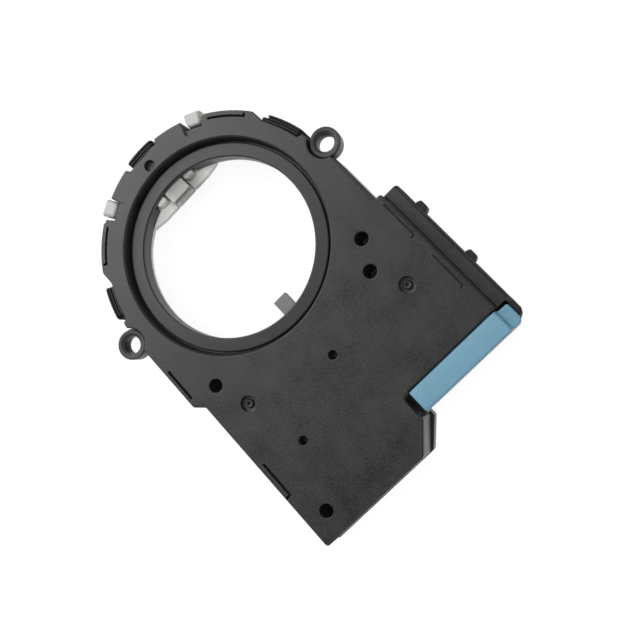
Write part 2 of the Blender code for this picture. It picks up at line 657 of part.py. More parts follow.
def make_front_housing(parts, cutters, axes, materials):
    """The deep front shell: face, box walls, ring wall, lugs, ledge, hollow posts and bosses."""
    case = axes["case"]
    outline = face_outline()
    step = FACE_TOP - STEP_DOWN
    sections = [
        (BOX_WALL_LOW, face_outline(WALL_STEP + WALL_DRAFT)),
        (step, face_outline(WALL_STEP)),
        (step + SEAM, outline),
        (FACE_TOP - FACE_EDGE, outline),
        (FACE_TOP, grown(outline, -FACE_EDGE)),
    ]
    housing = lofted("front_housing", sections, case, parts, materials["black_plastic"])

    # The ledge above the box, the wall round the connector's far end, and the connector pocket's end
    ledge_left = SHOULDER_X - WALL_STEP
    ledge = prism("ledge", rounded([
        (ledge_left, SHOULDER_Y - LEDGE_WALL, 0.0),
        (CONNECTOR_SIDE, SHOULDER_Y - LEDGE_WALL, 0.0),
        (CONNECTOR_SIDE, LEDGE_END_INNER, 0.0),
        (LEDGE_END, LEDGE_END_INNER, 0.0),
        (LEDGE_END, LEDGE_OUTER, 0.0008),
        (ledge_left, LEDGE_OUTER, 0.0008),
    ]), BOX_WALL_LOW, LEDGE_TOP, case)
    end_wall = prism("ledge_end", rounded([
        (LEDGE_END_START, LEDGE_END_INNER, 0.0),
        (LEDGE_END - SEAM, LEDGE_END_INNER, 0.0),
        (LEDGE_END - SEAM, LEDGE_OUTER - SEAM, 0.0007),
        (LEDGE_END_START, LEDGE_OUTER - SEAM, 0.0),
    ]), LEDGE_TOP - SEAM, LEDGE_TOP + LEDGE_END_RISE, case)
    pocket_wall = prism("pocket_end", rounded([
        (CONNECTOR_SIDE - BOX_WALL, CHAMFER_TOP - POCKET_WALL, 0.0),
        (CHAMFER_X, CHAMFER_TOP - POCKET_WALL, 0.0),
        (CHAMFER_X, CHAMFER_TOP + POCKET_WALL, 0.0010),
        (CONNECTOR_SIDE - BOX_WALL, CHAMFER_TOP + POCKET_WALL, 0.0),
    ]), BOX_WALL_LOW, FACE_TOP - POCKET_DROP, case)
    bumps = []
    for i, middle in enumerate(BUMP_CENTRES):
        base = LEDGE_OUTER - SEAM
        tip = LEDGE_OUTER + BUMP_REACH
        nose = BUMP_HALF - BUMP_REACH * 0.35
        bumps.append(prism(f"bump_{i}", [
            (middle - BUMP_HALF, base),
            (middle + BUMP_HALF, base),
            (middle + BUMP_HALF, LEDGE_OUTER + BUMP_REACH * 0.4),
            (middle + nose, tip),
            (middle - nose, tip),
            (middle - BUMP_HALF, LEDGE_OUTER + BUMP_REACH * 0.4),
        ], FACE_TOP - BUMP_HIGH, FACE_TOP - BUMP_LOW, case))
    combine(housing, "UNION", [ledge, end_wall, pocket_wall] + bumps, cutters)

    # The hollow inside: the rotor's chamber, the box, the ledge's own hollow and the lower ring side
    below = BOX_WALL_LOW - PLAY
    rib_outer = OPENING_RADIUS + RIB_WIDTH
    rib_low = SHROUD_TOP + PLAY
    chamber = turned("rotor_chamber", [
        (0.0, rib_low),
        (rib_outer, rib_low),
        (rib_outer, FACE_UNDER),
        (CHAMBER_RADIUS, FACE_UNDER),
        (CHAMBER_RADIUS, below),
        (0.0, below),
    ], case)
    hollow = grown([
        (CAVITY_LEFT + BOX_WALL, BOX_BOTTOM),
        (BOX_RIGHT, BOX_BOTTOM),
        (BOX_RIGHT, CHAMFER_LOW),
        (CHAMFER_X, CHAMFER_TOP),
        (CONNECTOR_SIDE, CHAMFER_TOP),
        (CONNECTOR_SIDE, BOX_TOP),
        (CAVITY_LEFT + BOX_WALL, BOX_TOP),
    ], -BOX_WALL)
    hollow[0] = (CAVITY_LEFT, hollow[0][1])
    hollow[-1] = (CAVITY_LEFT, hollow[-1][1])
    box_hollow = prism("box_hollow", hollow, below, FACE_UNDER, case)
    ledge_low = (ledge_left + 2 * LEDGE_WALL, BOX_TOP - 3 * BOX_WALL, below)
    ledge_high = (CONNECTOR_SIDE - BOX_WALL, LEDGE_OUTER - LEDGE_WALL, LEDGE_TOP - LEDGE_WALL)
    ledge_hollow = block("ledge_hollow", ledge_low, ledge_high, case)
    under_ring = disc(
        "under_ring", (0.0, 0.0), SPLIT_RADIUS + SEAM, 0.0, RING_WALL_LOW, case, RING_STEPS
    )
    far = CASE_RADIUS * 2
    under_left = block("under_left", (-far, 0.0, 0.0), (TRAY_LEFT_TOP - SEAM, far, RING_WALL_LOW), case)
    under_low = block(
        "under_low", (-far, -far, 0.0), (TRAY_LEFT_BOTTOM - SEAM, SEAM, RING_WALL_LOW), case
    )
    header_way = block(
        "header_way",
        (HEADER_LEFT - PLAY, HEADER_LOW_Y - PLAY, 0.0),
        (BOX_RIGHT, HEADER_HIGH_Y + PLAY, HEADER_TOP + PLAY),
        case,
    )
    combine(housing, "DIFFERENCE", [chamber, box_hollow, under_ring], cutters)
    combine(housing, "DIFFERENCE", [ledge_hollow, header_way, under_left, under_low], cutters)

    # Grooves round the lugs and the free space under them, and the two long grooves of the ledge
    grooves = []
    for side in (1.0, -1.0):
        place = (0.0, side * LUG_Y)
        groove_low = FACE_TOP - LUG_DROP - LUG_GROOVE_DEPTH
        groove = disc(f"lug_groove_{side:.0f}", place, LUG_RADIUS + LUG_GROOVE, groove_low,
                      FACE_TOP + LUG_DROP, case, SMALL_STEPS * 2)
        relief = disc(f"lug_relief_{side:.0f}", place, LUG_RADIUS + LUG_GROOVE, RING_LOW - PLAY,
                      FACE_TOP - LUG_DROP - LUG_THICKNESS, case, SMALL_STEPS * 2)
        grooves += [groove, relief]
        recess = rounded([
            (*polar(RECESS_RADIUS, RECESS_END), 0.0006),
            (*polar(RECESS_RADIUS, RECESS_START), 0.0010),
            (*polar(CASE_RADIUS + HOOK_ARM, RECESS_START - RECESS_FLARE), 0.0),
            (*polar(CASE_RADIUS + HOOK_ARM, RECESS_END), 0.0),
        ])
        if side < 0:
            recess = mirrored(recess)
        grooves.append(prism(f"hook_recess_{side:.0f}", recess, FACE_TOP - RECESS_DROP,
                             FACE_TOP + RECESS_DROP, case))
    for i, (start, end, depth) in enumerate(LEDGE_GROOVES):
        groove_low = (SHOULDER_X, start, LEDGE_TOP - depth)
        grooves.append(block(f"ledge_groove_{i}", groove_low, (CONNECTOR_SIDE, end, FACE_TOP), case))
    combine(housing, "DIFFERENCE", grooves, cutters)

    # What is moulded on: lugs, hook ledges, catches, bosses and the gear posts
    added = []
    for side in (1.0, -1.0):
        place = (0.0, side * LUG_Y)
        lug_top = FACE_TOP - LUG_DROP
        lug = disc(f"lug_{side:.0f}", place, LUG_RADIUS, lug_top - LUG_THICKNESS, lug_top, case,
                   SMALL_STEPS * 2)
        added.append(lug)
        shelf = [polar(HOOK_NOTCH_RADIUS - BOX_WALL, side * angle) for angle in (145.0, 159.0)]
        shelf += [polar(CASE_RADIUS - SEAM, side * angle) for angle in (158.5, 152.7, 146.0)]
        if side < 0:
            shelf = shelf[::-1]
        shelf_top = FACE_TOP - NOTCH_LEDGE_DROP
        added.append(prism(f"hook_shelf_{side:.0f}", shelf[::-1], RING_WALL_LOW, shelf_top, case))
    for angle, radius, half in loop_places():
        catch_low = RING_FLOOR + LOOP_WINDOW_LOW + CATCH_CLEARANCE
        catch_high = FACE_TOP - LOOP_TOP_DROP - LOOP_WINDOW_HIGH - CATCH_CLEARANCE
        catch_half = half - LOOP_WINDOW_SIDE - CATCH_CLEARANCE
        root = (radius - 2 * LOOP_GAP, -catch_half, catch_low)
        tip = (radius + CATCH_REACH, catch_half, catch_high)
        added += around(angle, [block(f"catch_{angle:.0f}", root, tip, case)])
    for i, place in enumerate(DEEP_HOLES):
        if place[0] > CAVITY_LEFT:
            boss_low = RING_WALL_LOW
            boss = disc(f"deep_boss_{i}", place, DEEP_BOSS_RADIUS, boss_low, FACE_UNDER + PLAY, case)
            added.append(boss)
    for i, place in enumerate(STAKE_PLACES):
        boss_low = BOARD_TOP + PLAY
        added.append(
            disc(f"stake_boss_{i}", place, STAKE_BOSS_RADIUS, boss_low, FACE_UNDER + PLAY, case)
        )
        pin_low = BOARD_LOW - SEAM
        added.append(
            disc(f"stake_pin_{i}", place, STAKE_PIN_RADIUS, pin_low, FACE_UNDER, case, TINY_STEPS)
        )
    for i, place in enumerate(PLATE_POSTS):
        added.append(disc(
            f"plate_post_{i}", place, PLATE_POST_RADIUS, PLATE_TOP + SEAM, FACE_UNDER + PLAY, case
        ))
        added.append(disc(
            f"plate_pin_{i}", place, PLATE_PIN_RADIUS, PLATE_LOW, FACE_UNDER, case, TINY_STEPS
        ))
    for i, place in enumerate((GEAR_1_PLACE, GEAR_2_PLACE)):
        post_low = GEAR_SHOULDER_LOW + MAGNET_HEIGHT + PLAY
        added.append(
            disc(f"gear_post_{i}", place, GEAR_POST_RADIUS, post_low, FACE_UNDER + PLAY, case)
        )
        collar_low = GEAR_TEETH_TOP + GEAR_BOSS_HEIGHT + PLAY
        added.append(
            disc(f"gear_collar_{i}", place, GEAR_BOSS_RADIUS, collar_low, FACE_UNDER + PLAY, case)
        )
    combine(housing, "UNION", added, cutters)

    # Holes and recesses cut from the face, and the bore
    holes = [turned("face_opening", [
        (0.0, FACE_TOP + SLOT_DEPTH),
        (OPENING_RADIUS + OPENING_EDGE + SLOT_DEPTH, FACE_TOP + SLOT_DEPTH),
        (OPENING_RADIUS, FACE_TOP - OPENING_EDGE),
        (OPENING_RADIUS, RING_FLOOR),
        (0.0, RING_FLOOR),
    ], case)]
    above = FACE_TOP + SLOT_DEPTH
    for side in (1.0, -1.0):
        place = (0.0, side * LUG_Y)
        holes.append(disc(f"lug_hole_{side:.0f}", place, LUG_HOLE, RING_FLOOR, above, case))
    for i, place in enumerate(DEEP_HOLES):
        bottom = FACE_TOP - DEEP_HOLE_DEPTH
        holes.append(disc(f"deep_hole_{i}", place, DEEP_HOLE_RADIUS, bottom, above, case))
    for i, place in enumerate((GEAR_1_PLACE, GEAR_2_PLACE)):
        bottom = GEAR_SHOULDER_LOW + MAGNET_HEIGHT + PLAY + GEAR_POST_TIP
        holes.append(disc(f"post_core_{i}", place, GEAR_POST_CORE, bottom, above, case, 16))
    for i, place in enumerate(STAKE_PLACES):
        bottom = FACE_TOP - STAKE_RECESS_DEPTH
        holes.append(disc(f"stake_recess_{i}", place, STAKE_RECESS_RADIUS, bottom, above, case))
    mark = (RING_MARK_X, 0.0)
    holes.append(disc("ring_mark", mark, RING_MARK_RADIUS, FACE_TOP - RING_MARK_DEPTH, above, case))
    combine(housing, "DIFFERENCE", holes + slot_cutters(case), cutters)

    # The small hollow nubs left by the heat-staked pins in their recesses
    nubs = []
    nub_holes = []
    for i, place in enumerate(STAKE_PLACES):
        recess = FACE_TOP - STAKE_RECESS_DEPTH
        nub_top = recess + STAKE_NUB_HEIGHT
        nubs.append(
            disc(f"stake_nub_{i}", place, STAKE_NUB_RADIUS, recess - PLAY, nub_top, case, TINY_STEPS)
        )
        nub_holes.append(
            disc(f"nub_hole_{i}", place, STAKE_NUB_HOLE, recess, above, case, TINY_STEPS)
        )
    combine(housing, "UNION", nubs, cutters)
    combine(housing, "DIFFERENCE", nub_holes, cutters)
    return housing


def loop_places():
    """Where the tray's snap loops stand: their angle, the wall they face, and their half width."""
    return (
        (180.0, SNAP_FLAT, LOOP_SIDE_HALF),
        (LOOP_PAIR_ANGLE, INSET_RADIUS, LOOP_PAIR_HALF),
        (-LOOP_PAIR_ANGLE, INSET_RADIUS, LOOP_PAIR_HALF),
    )


def tray_outline(soft=1.0):
    """The rear tray's outline: the box with its rim, and a concave side round the rotor."""
    right = BOX_RIGHT + RIM_STEP
    bottom = BOX_BOTTOM - RIM_STEP
    top = LEDGE_OUTER + SEAM
    mouth = HEADER_RIGHT - SEAM
    upper_angle = math.degrees(math.acos(TRAY_LEFT_TOP / TRAY_RING_RADIUS))
    lower_angle = -math.degrees(math.acos(TRAY_LEFT_BOTTOM / TRAY_RING_RADIUS))
    corners = rounded([
        (TRAY_LEFT_BOTTOM, bottom, 0.0006 * soft),
        (right, bottom, 0.0010 * soft),
        (right, CHAMFER_LOW + RIM_STEP * 0.5, 0.0),
        (CHAMFER_X + RIM_STEP, CHAMFER_TOP + RIM_STEP, 0.0),
        (mouth, CHAMFER_TOP + RIM_STEP, 0.0),
        (mouth, top, 0.0015 * soft),
        (TRAY_LEFT_TOP, top, 0.0008 * soft),
    ])
    return corners + arc(TRAY_RING_RADIUS, upper_angle, lower_angle)


def make_rear_cover(parts, cutters, axes, materials):
    """The rear tray under the box, with the plate behind the rotor and three snap loops."""
    case = axes["case"]
    outline = tray_outline()
    cover = lofted("rear_cover", [
        (0.0, grown(outline, -FACE_EDGE)),
        (FACE_EDGE, outline),
        (RING_FLOOR, outline),
    ], case, parts, materials["black_plastic"])

    # The rim stands only as high as the box wall's foot, and lower still under the connector
    far = CASE_RADIUS * 3
    rim_cut = [
        (TRAY_LEFT_TOP - 2 * RIM_WALL, far),
        (TRAY_LEFT_TOP - 2 * RIM_WALL, SPLIT_RADIUS),
    ]
    upper_angle = math.degrees(math.acos((TRAY_LEFT_TOP - 2 * RIM_WALL) / SPLIT_RADIUS))
    lower_angle = -math.degrees(math.acos((TRAY_LEFT_BOTTOM - 2 * RIM_WALL) / SPLIT_RADIUS))
    rim_cut += arc(SPLIT_RADIUS, upper_angle, lower_angle)
    rim_cut += [(TRAY_LEFT_BOTTOM - 2 * RIM_WALL, -far), (far, -far), (far, far)]
    rim_top = prism("rim_cut", rim_cut, RIM_HEIGHT, FACE_TOP, case)
    hollow = grown(tray_outline(soft=0.0), -RIM_WALL)
    inside = prism("tray_hollow", hollow, FLOOR, FACE_TOP, case)
    mouth_low = (HEADER_LEFT, HEADER_BAR_LOW_Y - PLAY, FLOOR)
    mouth_cut = block("mouth_cut", mouth_low, (far, LEDGE_END_INNER, FACE_TOP), case)
    combine(cover, "DIFFERENCE", [rim_top, inside, mouth_cut], cutters)

    # The ring plate, the posts under the board, and the loops
    added = [disc("ring_plate", (0.0, 0.0), REAR_PLATE_RADIUS, RING_LOW, RING_FLOOR, case, RING_STEPS)]
    link = arc(REAR_PLATE_RADIUS - REAR_PLATE, -38.0, 50.0)
    link += arc(TRAY_RING_RADIUS + RIM_WALL / 2, 50.0, -38.0)
    added.append(prism("ring_link", link[::-1], RING_LOW, RING_FLOOR, case))
    for i, place in enumerate(DEEP_HOLES + STAKE_PLACES):
        if place[0] > BOARD_LEFT:
            added.append(disc(
                f"board_pad_{i}", place, PAD_RADIUS, FLOOR - SEAM, BOARD_LOW - 2 * SEAM, case, 16
            ))
    windows = []
    for angle, radius, half in loop_places():
        wall = LOOP_WALL if angle == 180.0 else LOOP_PAIR_WALL
        inner = radius + LOOP_GAP
        loop_top = FACE_TOP - LOOP_TOP_DROP
        foot_low = (REAR_PLATE_RADIUS - REAR_PLATE, -half, RING_LOW)
        foot = block(f"loop_foot_{angle:.0f}", foot_low, (inner + wall, half, RING_FLOOR), case)
        arm_low = (inner, -half, RING_FLOOR - SEAM)
        arm = block(f"loop_arm_{angle:.0f}", arm_low, (inner + wall, half, loop_top), case)
        window_half = half - LOOP_WINDOW_SIDE
        window_low = (inner - LOOP_GAP / 2, -window_half, RING_FLOOR + LOOP_WINDOW_LOW)
        window_high = (inner + 2 * wall, window_half, loop_top - LOOP_WINDOW_HIGH)
        window = block(f"loop_window_{angle:.0f}", window_low, window_high, case)
        added += around(angle, [foot, arm])
        windows += around(angle, [window])
    combine(cover, "UNION", added, cutters)

    opening = disc(
        "rear_opening", (0.0, 0.0), LIP_OUTER + REAR_PLATE_GAP, 0.0, FACE_TOP, case, RING_STEPS
    )
    key_low = (REAR_PLATE_RADIUS, -TONGUE_KEY_HALF - PLAY, BEARING_LOW - PLAY)
    key_high = (
        BEARING_FLANGE_RADIUS + TONGUE_KEY_REACH + PLAY,
        TONGUE_KEY_HALF + PLAY,
        RING_LOW,
    )
    key_pocket = block("key_pocket", key_low, key_high, case)
    combine(cover, "DIFFERENCE", [opening, key_pocket] + windows, cutters)
    return cover


def gear_outline(teeth, phase):
    """Involute teeth around a circle; the middle of the first tooth stands at the phase angle."""
    pitch = MODULE * teeth / 2
    pressure = math.radians(PRESSURE_ANGLE)
    base = pitch * math.cos(pressure)
    tip = pitch + MODULE
    root = pitch - 1.25 * MODULE
    foot = max(base, root + MODULE * 0.05)
    half_at_pitch = (math.pi * MODULE / 2 - TOOTH_THINNING) / (2 * pitch)
    involute = math.tan(pressure) - pressure

    def half_angle(radius):
        """Half of the tooth's width as an angle, at a radius on its involute flank."""
        opening = math.acos(min(1.0, base / radius))
        return half_at_pitch + involute - (math.tan(opening) - opening)

    radii = [foot + (tip - foot) * i / (FLANK_POINTS - 1) for i in range(FLANK_POINTS)]
    rise = [(root, half_angle(foot))] + [(radius, half_angle(radius)) for radius in radii]
    outline = []
    for tooth in range(teeth):
        middle = math.radians(phase) + math.tau * tooth / teeth
        outline += [polar(radius, math.degrees(middle - half)) for radius, half in rise]
        outline += [polar(radius, math.degrees(middle + half)) for radius, half in reversed(rise)]
    return outline


def gear_phases():
    """Tooth angles at rest: a rotor tooth points at gear 1, and each gear meshes with the one before."""
    rotor = GEAR_1_BEARING
    pitch_1 = 360.0 / GEAR_1_TEETH
    pitch_2 = 360.0 / GEAR_2_TEETH
    gear_1 = GEAR_1_BEARING + 180.0 + pitch_1 / 2
    share = ((GEAR_2_BEARING - gear_1) % pitch_1) / pitch_1
    gear_2 = GEAR_2_BEARING + 180.0 + (share + 0.5) * pitch_2
    return rotor, gear_1, gear_2


def make_rotor(parts, cutters, axes, materials):
    """The black rotor ring: a toothed band under a shroud, two collars, and the driver's window."""
    axis = axes["rotor"]
    teeth = gear_outline(ROTOR_TEETH, gear_phases()[0])
    rotor = prism("rotor_gear_ring", teeth, ROTOR_TEETH_LOW, ROTOR_TEETH_TOP, axis, parts,
                  materials["rotor_plastic"])
    hub = turned("rotor_hub", [
        (0.0, ROTOR_TOP),
        (FLANGE_RADIUS - OPENING_EDGE, ROTOR_TOP),
        (FLANGE_RADIUS, ROTOR_TOP - OPENING_EDGE),
        (FLANGE_RADIUS, SHROUD_TOP),
        (ROTOR_TIP + SHROUD_RIM, SHROUD_TOP),
        (ROTOR_TIP + SHROUD_RIM, ROTOR_TEETH_TOP - GEAR_PLAY),
        (ROTOR_ROOT - SEAM, ROTOR_TEETH_TOP - GEAR_PLAY),
        (LOWER_COLLAR_RADIUS, ROTOR_TEETH_LOW + PLAY),
        (LOWER_COLLAR_RADIUS, ROTOR_LOW),
        (0.0, ROTOR_LOW),
    ], axis)
    combine(rotor, "UNION", [hub], cutters)
    seat = ROTOR_TOP - BORE_DEPTH
    bore = turned("rotor_bore", [
        (0.0, ROTOR_TOP + PLAY),
        (BORE_RADIUS + OPENING_EDGE + PLAY, ROTOR_TOP + PLAY),
        (BORE_RADIUS, ROTOR_TOP - OPENING_EDGE),
        (BORE_RADIUS + BORE_DRAFT, seat),
        (DRIVER_SEAT_RADIUS, seat),
        (DRIVER_SEAT_RADIUS, ROTOR_LOW - PLAY),
        (0.0, ROTOR_LOW - PLAY),
    ], axis)
    window_low = (-WINDOW_RADIUS, -WINDOW_HALF, ROTOR_LOW - PLAY)
    window = block("driver_window", window_low, (0.0, WINDOW_HALF, ROTOR_TOP - WINDOW_DROP), axis)
    combine(rotor, "DIFFERENCE", [bore, window], cutters)
    return rotor


def make_driver(parts, cutters, axes, materials):
    """The white ring seated under the rotor, with its flat wings, tongue, two cheeks and a key."""
    axis = axes["rotor"]
    outer = DRIVER_SEAT_RADIUS - PLAY
    driver = turned("driver_ring", [
        (DRIVER_INNER, DRIVER_TOP),
        (outer, DRIVER_TOP),
        (outer, DRIVER_LOW),
        (DRIVER_INNER, DRIVER_LOW),
    ], axis, parts, materials["white_plastic"])
    embed = (DRIVER_INNER + outer) / 2
    start = 180.0 - math.degrees(math.asin(WING_END / embed))
    wing = arc(embed, start, 360.0 - start)
    wing += [
        (-WING_END_X, -WING_END),
        (-WING_CHORD, -WING_HALF),
        (-WING_CHORD, WING_HALF),
        (-WING_END_X, WING_END),
    ]
    inset = SOLDER_GAP
    wings = prism("wings", wing, DRIVER_LOW + inset, DRIVER_TOP - inset, axis)
    tongue_top = DRIVER_TOP + TONGUE_RISE
    tongue = block(
        "tongue", (-TONGUE_OUTER, -TONGUE_HALF, DRIVER_LOW + 2 * inset),
        (-TONGUE_INNER, TONGUE_HALF, tongue_top), axis
    )
    cheeks = []
    for side in (1.0, -1.0):
        low = side * CHEEK_START
        high = side * CHEEK_END
        bottom = cheek_outline(low, high, CHEEK_FOOT_WIDTH)
        waist = cheek_outline(low, high, (CHEEK_FOOT_WIDTH + 2 * CHEEK_TOP_WIDTH) / 3)
        top = cheek_outline(low, high, CHEEK_TOP_WIDTH)
        cheeks.append(lofted(f"cheek_{side:.0f}", [
            (DRIVER_LOW + 2 * inset, bottom),
            (DRIVER_TOP, bottom),
            (DRIVER_TOP + CHEEK_RISE * 0.3, waist),
            (DRIVER_TOP + CHEEK_RISE, top),
        ], axis))
    key = prism("key", rounded([
        (KEY_INNER, -KEY_HALF, KEY_ROUND),
        (embed, -KEY_HALF, 0.0),
        (embed, KEY_HALF, 0.0),
        (KEY_INNER, KEY_HALF, KEY_ROUND),
    ]), DRIVER_LOW + inset, DRIVER_TOP - inset, axis)
    combine(driver, "UNION", [wings, tongue, key] + cheeks, cutters)
    pocket = block(
        "tongue_pocket",
        (-TONGUE_INNER - TONGUE_POCKET_DEPTH, -TONGUE_POCKET_HALF, DRIVER_TOP + TONGUE_POCKET_RISE),
        (-TONGUE_INNER + 2 * inset, TONGUE_POCKET_HALF, tongue_top - TONGUE_LIP),
        axis,
    )
    slits = []
    for side in (1.0, -1.0):
        ends = sorted((side * (TONGUE_HALF - GEAR_PLAY), side * (TONGUE_HALF + PLAY)))
        slit_low = (-TONGUE_OUTER + 2 * inset, ends[0], DRIVER_LOW - PLAY)
        slit_high = (-WING_CHORD + PLAY, ends[1], tongue_top + PLAY)
        slits.append(block(f"tongue_slit_{side:.0f}", slit_low, slit_high, axis))
    combine(driver, "DIFFERENCE", [pocket] + slits, cutters)
    return driver


def cheek_outline(low, high, width):
    """A cheek's section: its outer side on the rotor's wall, its inner side a width further in."""
    outline = [
        (-CHEEK_OUTER, low),
        (-CHEEK_OUTER + width, low),
        (-CHEEK_OUTER + width, high),
        (-CHEEK_OUTER, high),
    ]
    return outline if high > low else outline[::-1]


def make_bearing_ring(parts, cutters, axes, materials):
    """The white bearing ring that carries the rotor from behind, snapped on with two hooks."""
    case = axes["case"]
    lip_top = ROTOR_TEETH_LOW - PLAY
    ring = turned("bearing_ring", [
        (LIP_INNER, lip_top),
        (LIP_OUTER, lip_top),
        (LIP_OUTER, BEARING_TOP),
        (BEARING_FLANGE_RADIUS, BEARING_TOP),
        (BEARING_FLANGE_RADIUS, BEARING_LOW),
        (LIP_INNER, BEARING_LOW),
    ], case, parts, materials["white_plastic"])
    added = []
    inset = SOLDER_GAP
    root = BEARING_FLANGE_RADIUS - BEARING_FLANGE
    for side in (1.0, -1.0):
        web_low = (root, -HOOK_OUTER_HALF, BEARING_LOW + inset)
        web_high = (HOOK_OUTER - inset, HOOK_OUTER_HALF - inset, BEARING_TOP - inset)
        web = block(f"hook_web_{side:.0f}", web_low, web_high, case)
        arm_low = (HOOK_OUTER - HOOK_ARM, -HOOK_OUTER_HALF + inset, BEARING_LOW)
        arm_high = (HOOK_OUTER, HOOK_OUTER_HALF, HOOK_TOP - inset)
        arm = block(f"hook_arm_{side:.0f}", arm_low, arm_high, case)
        pad = prism(f"hook_pad_{side:.0f}", rounded([
            (HOOK_INNER, -HOOK_INNER_HALF, HOOK_ROUND * 0.8),
            (HOOK_OUTER + inset, -HOOK_OUTER_HALF - inset, HOOK_ROUND),
            (HOOK_OUTER + inset, HOOK_OUTER_HALF + inset, HOOK_ROUND),
            (HOOK_INNER, HOOK_INNER_HALF, HOOK_ROUND * 0.8),
        ]), HOOK_TOP - HOOK_PAD, HOOK_TOP, case)
        added += around(side * HOOK_ANGLE, [web, arm, pad])
    key_high = (BEARING_FLANGE_RADIUS + TONGUE_KEY_REACH, TONGUE_KEY_HALF, BEARING_TOP - inset)
    key = block("flange_key", (root, -TONGUE_KEY_HALF, BEARING_LOW + inset), key_high, case)
    combine(ring, "UNION", added + [key], cutters)
    return ring


def make_measuring_gear(number, parts, cutters, axes, materials):
    """A measuring gear on its post: teeth, a shoulder and hub below, a boss above, and its magnet."""
    axis = axes[f"gear_{number}"]
    teeth = (GEAR_1_TEETH, GEAR_2_TEETH)[number - 1]
    outline = gear_outline(teeth, gear_phases()[number])
    gear = prism(f"measuring_gear_{number}", outline, GEAR_TEETH_LOW, GEAR_TEETH_TOP, axis, parts,
                 materials["white_plastic"])
    middle = (0.0, 0.0)
    inside = GEAR_TEETH_LOW + PLAY
    combine(gear, "UNION", [
        disc(f"gear_{number}_shoulder", middle, GEAR_SHOULDER_RADIUS, GEAR_SHOULDER_LOW, inside, axis),
        disc(f"gear_{number}_hub", middle, GEAR_HUB_RADIUS, GEAR_LOW, inside + PLAY, axis),
        disc(f"gear_{number}_boss", middle, GEAR_BOSS_RADIUS, inside + 2 * PLAY,
             GEAR_TEETH_TOP + GEAR_BOSS_HEIGHT, axis),
    ], cutters)
    post_room = GEAR_SHOULDER_LOW + MAGNET_HEIGHT
    magnet_room = MAGNET_LOW + MAGNET_HEIGHT + PLAY
    combine(gear, "DIFFERENCE", [
        disc(f"gear_{number}_bore", middle, GEAR_POST_RADIUS + PLAY, post_room,
             GEAR_TEETH_TOP + 2 * GEAR_BOSS_HEIGHT, axis),
        disc(f"gear_{number}_magnet_seat", middle, MAGNET_RADIUS + PLAY, GEAR_LOW - PLAY,
             magnet_room, axis),
    ], cutters)
    disc(f"magnet_{number}", middle, MAGNET_RADIUS, MAGNET_LOW, MAGNET_LOW + MAGNET_HEIGHT, axis,
         SMALL_STEPS, parts, materials["magnet"])
    return gear


def hull_outline(discs):
    """The convex outline round a set of (x, y, radius) discs."""
    cloud = sorted(
        point for x, y, radius in discs for point in arc(radius, 0.0, 330.0, (x, y))
    )

    def half(points):
        """One chain of the hull, by dropping each point that turns the wrong way."""
        chain = []
        for point in points:
            while len(chain) > 1 and turn(chain[-2], chain[-1], point) <= 0.0:
                chain.pop()
            chain.append(point)
        return chain[:-1]

    return half(cloud) + half(cloud[::-1])


def turn(a, b, c):
    """Twice the area of the triangle a, b, c: positive for a left turn."""
    return (b[0] - a[0]) * (c[1] - a[1]) - (b[1] - a[1]) * (c[0] - a[0])


def make_gear_plate(parts, cutters, axes, materials):
    """The plate that carries both gear hubs, staked to four posts of the front housing."""
    case = axes["case"]
    discs = [(x, y, PLATE_EAR_RADIUS) for x, y in PLATE_POSTS]
    discs += [(*place, PLATE_HUB_EAR) for place in (GEAR_1_PLACE, GEAR_2_PLACE)]
    plate = prism("gear_bearing_plate", hull_outline(discs), PLATE_LOW, PLATE_TOP, case, parts,
                  materials["black_plastic"])
    holes = []
    for i, place in enumerate((GEAR_1_PLACE, GEAR_2_PLACE)):
        holes.append(disc(
            f"hub_hole_{i}", place, GEAR_HUB_RADIUS + PLAY, PLATE_LOW - PLAY, PLATE_TOP + PLAY, case
        ))
    for i, place in enumerate(PLATE_POSTS):
        holes.append(disc(f"pin_hole_{i}", place, PLATE_PIN_RADIUS + PLAY, PLATE_LOW - PLAY,
                          PLATE_TOP + PLAY, case, TINY_STEPS))
    combine(plate, "DIFFERENCE", holes, cutters)
    return plate


def pin_places():
    """The Y place of each connector pin, spread about the middle of the header."""
    middle = (HEADER_LOW_Y + HEADER_HIGH_Y) / 2
    return [middle + PIN_PITCH * (i - (PIN_COUNT - 1) / 2) for i in range(PIN_COUNT)]


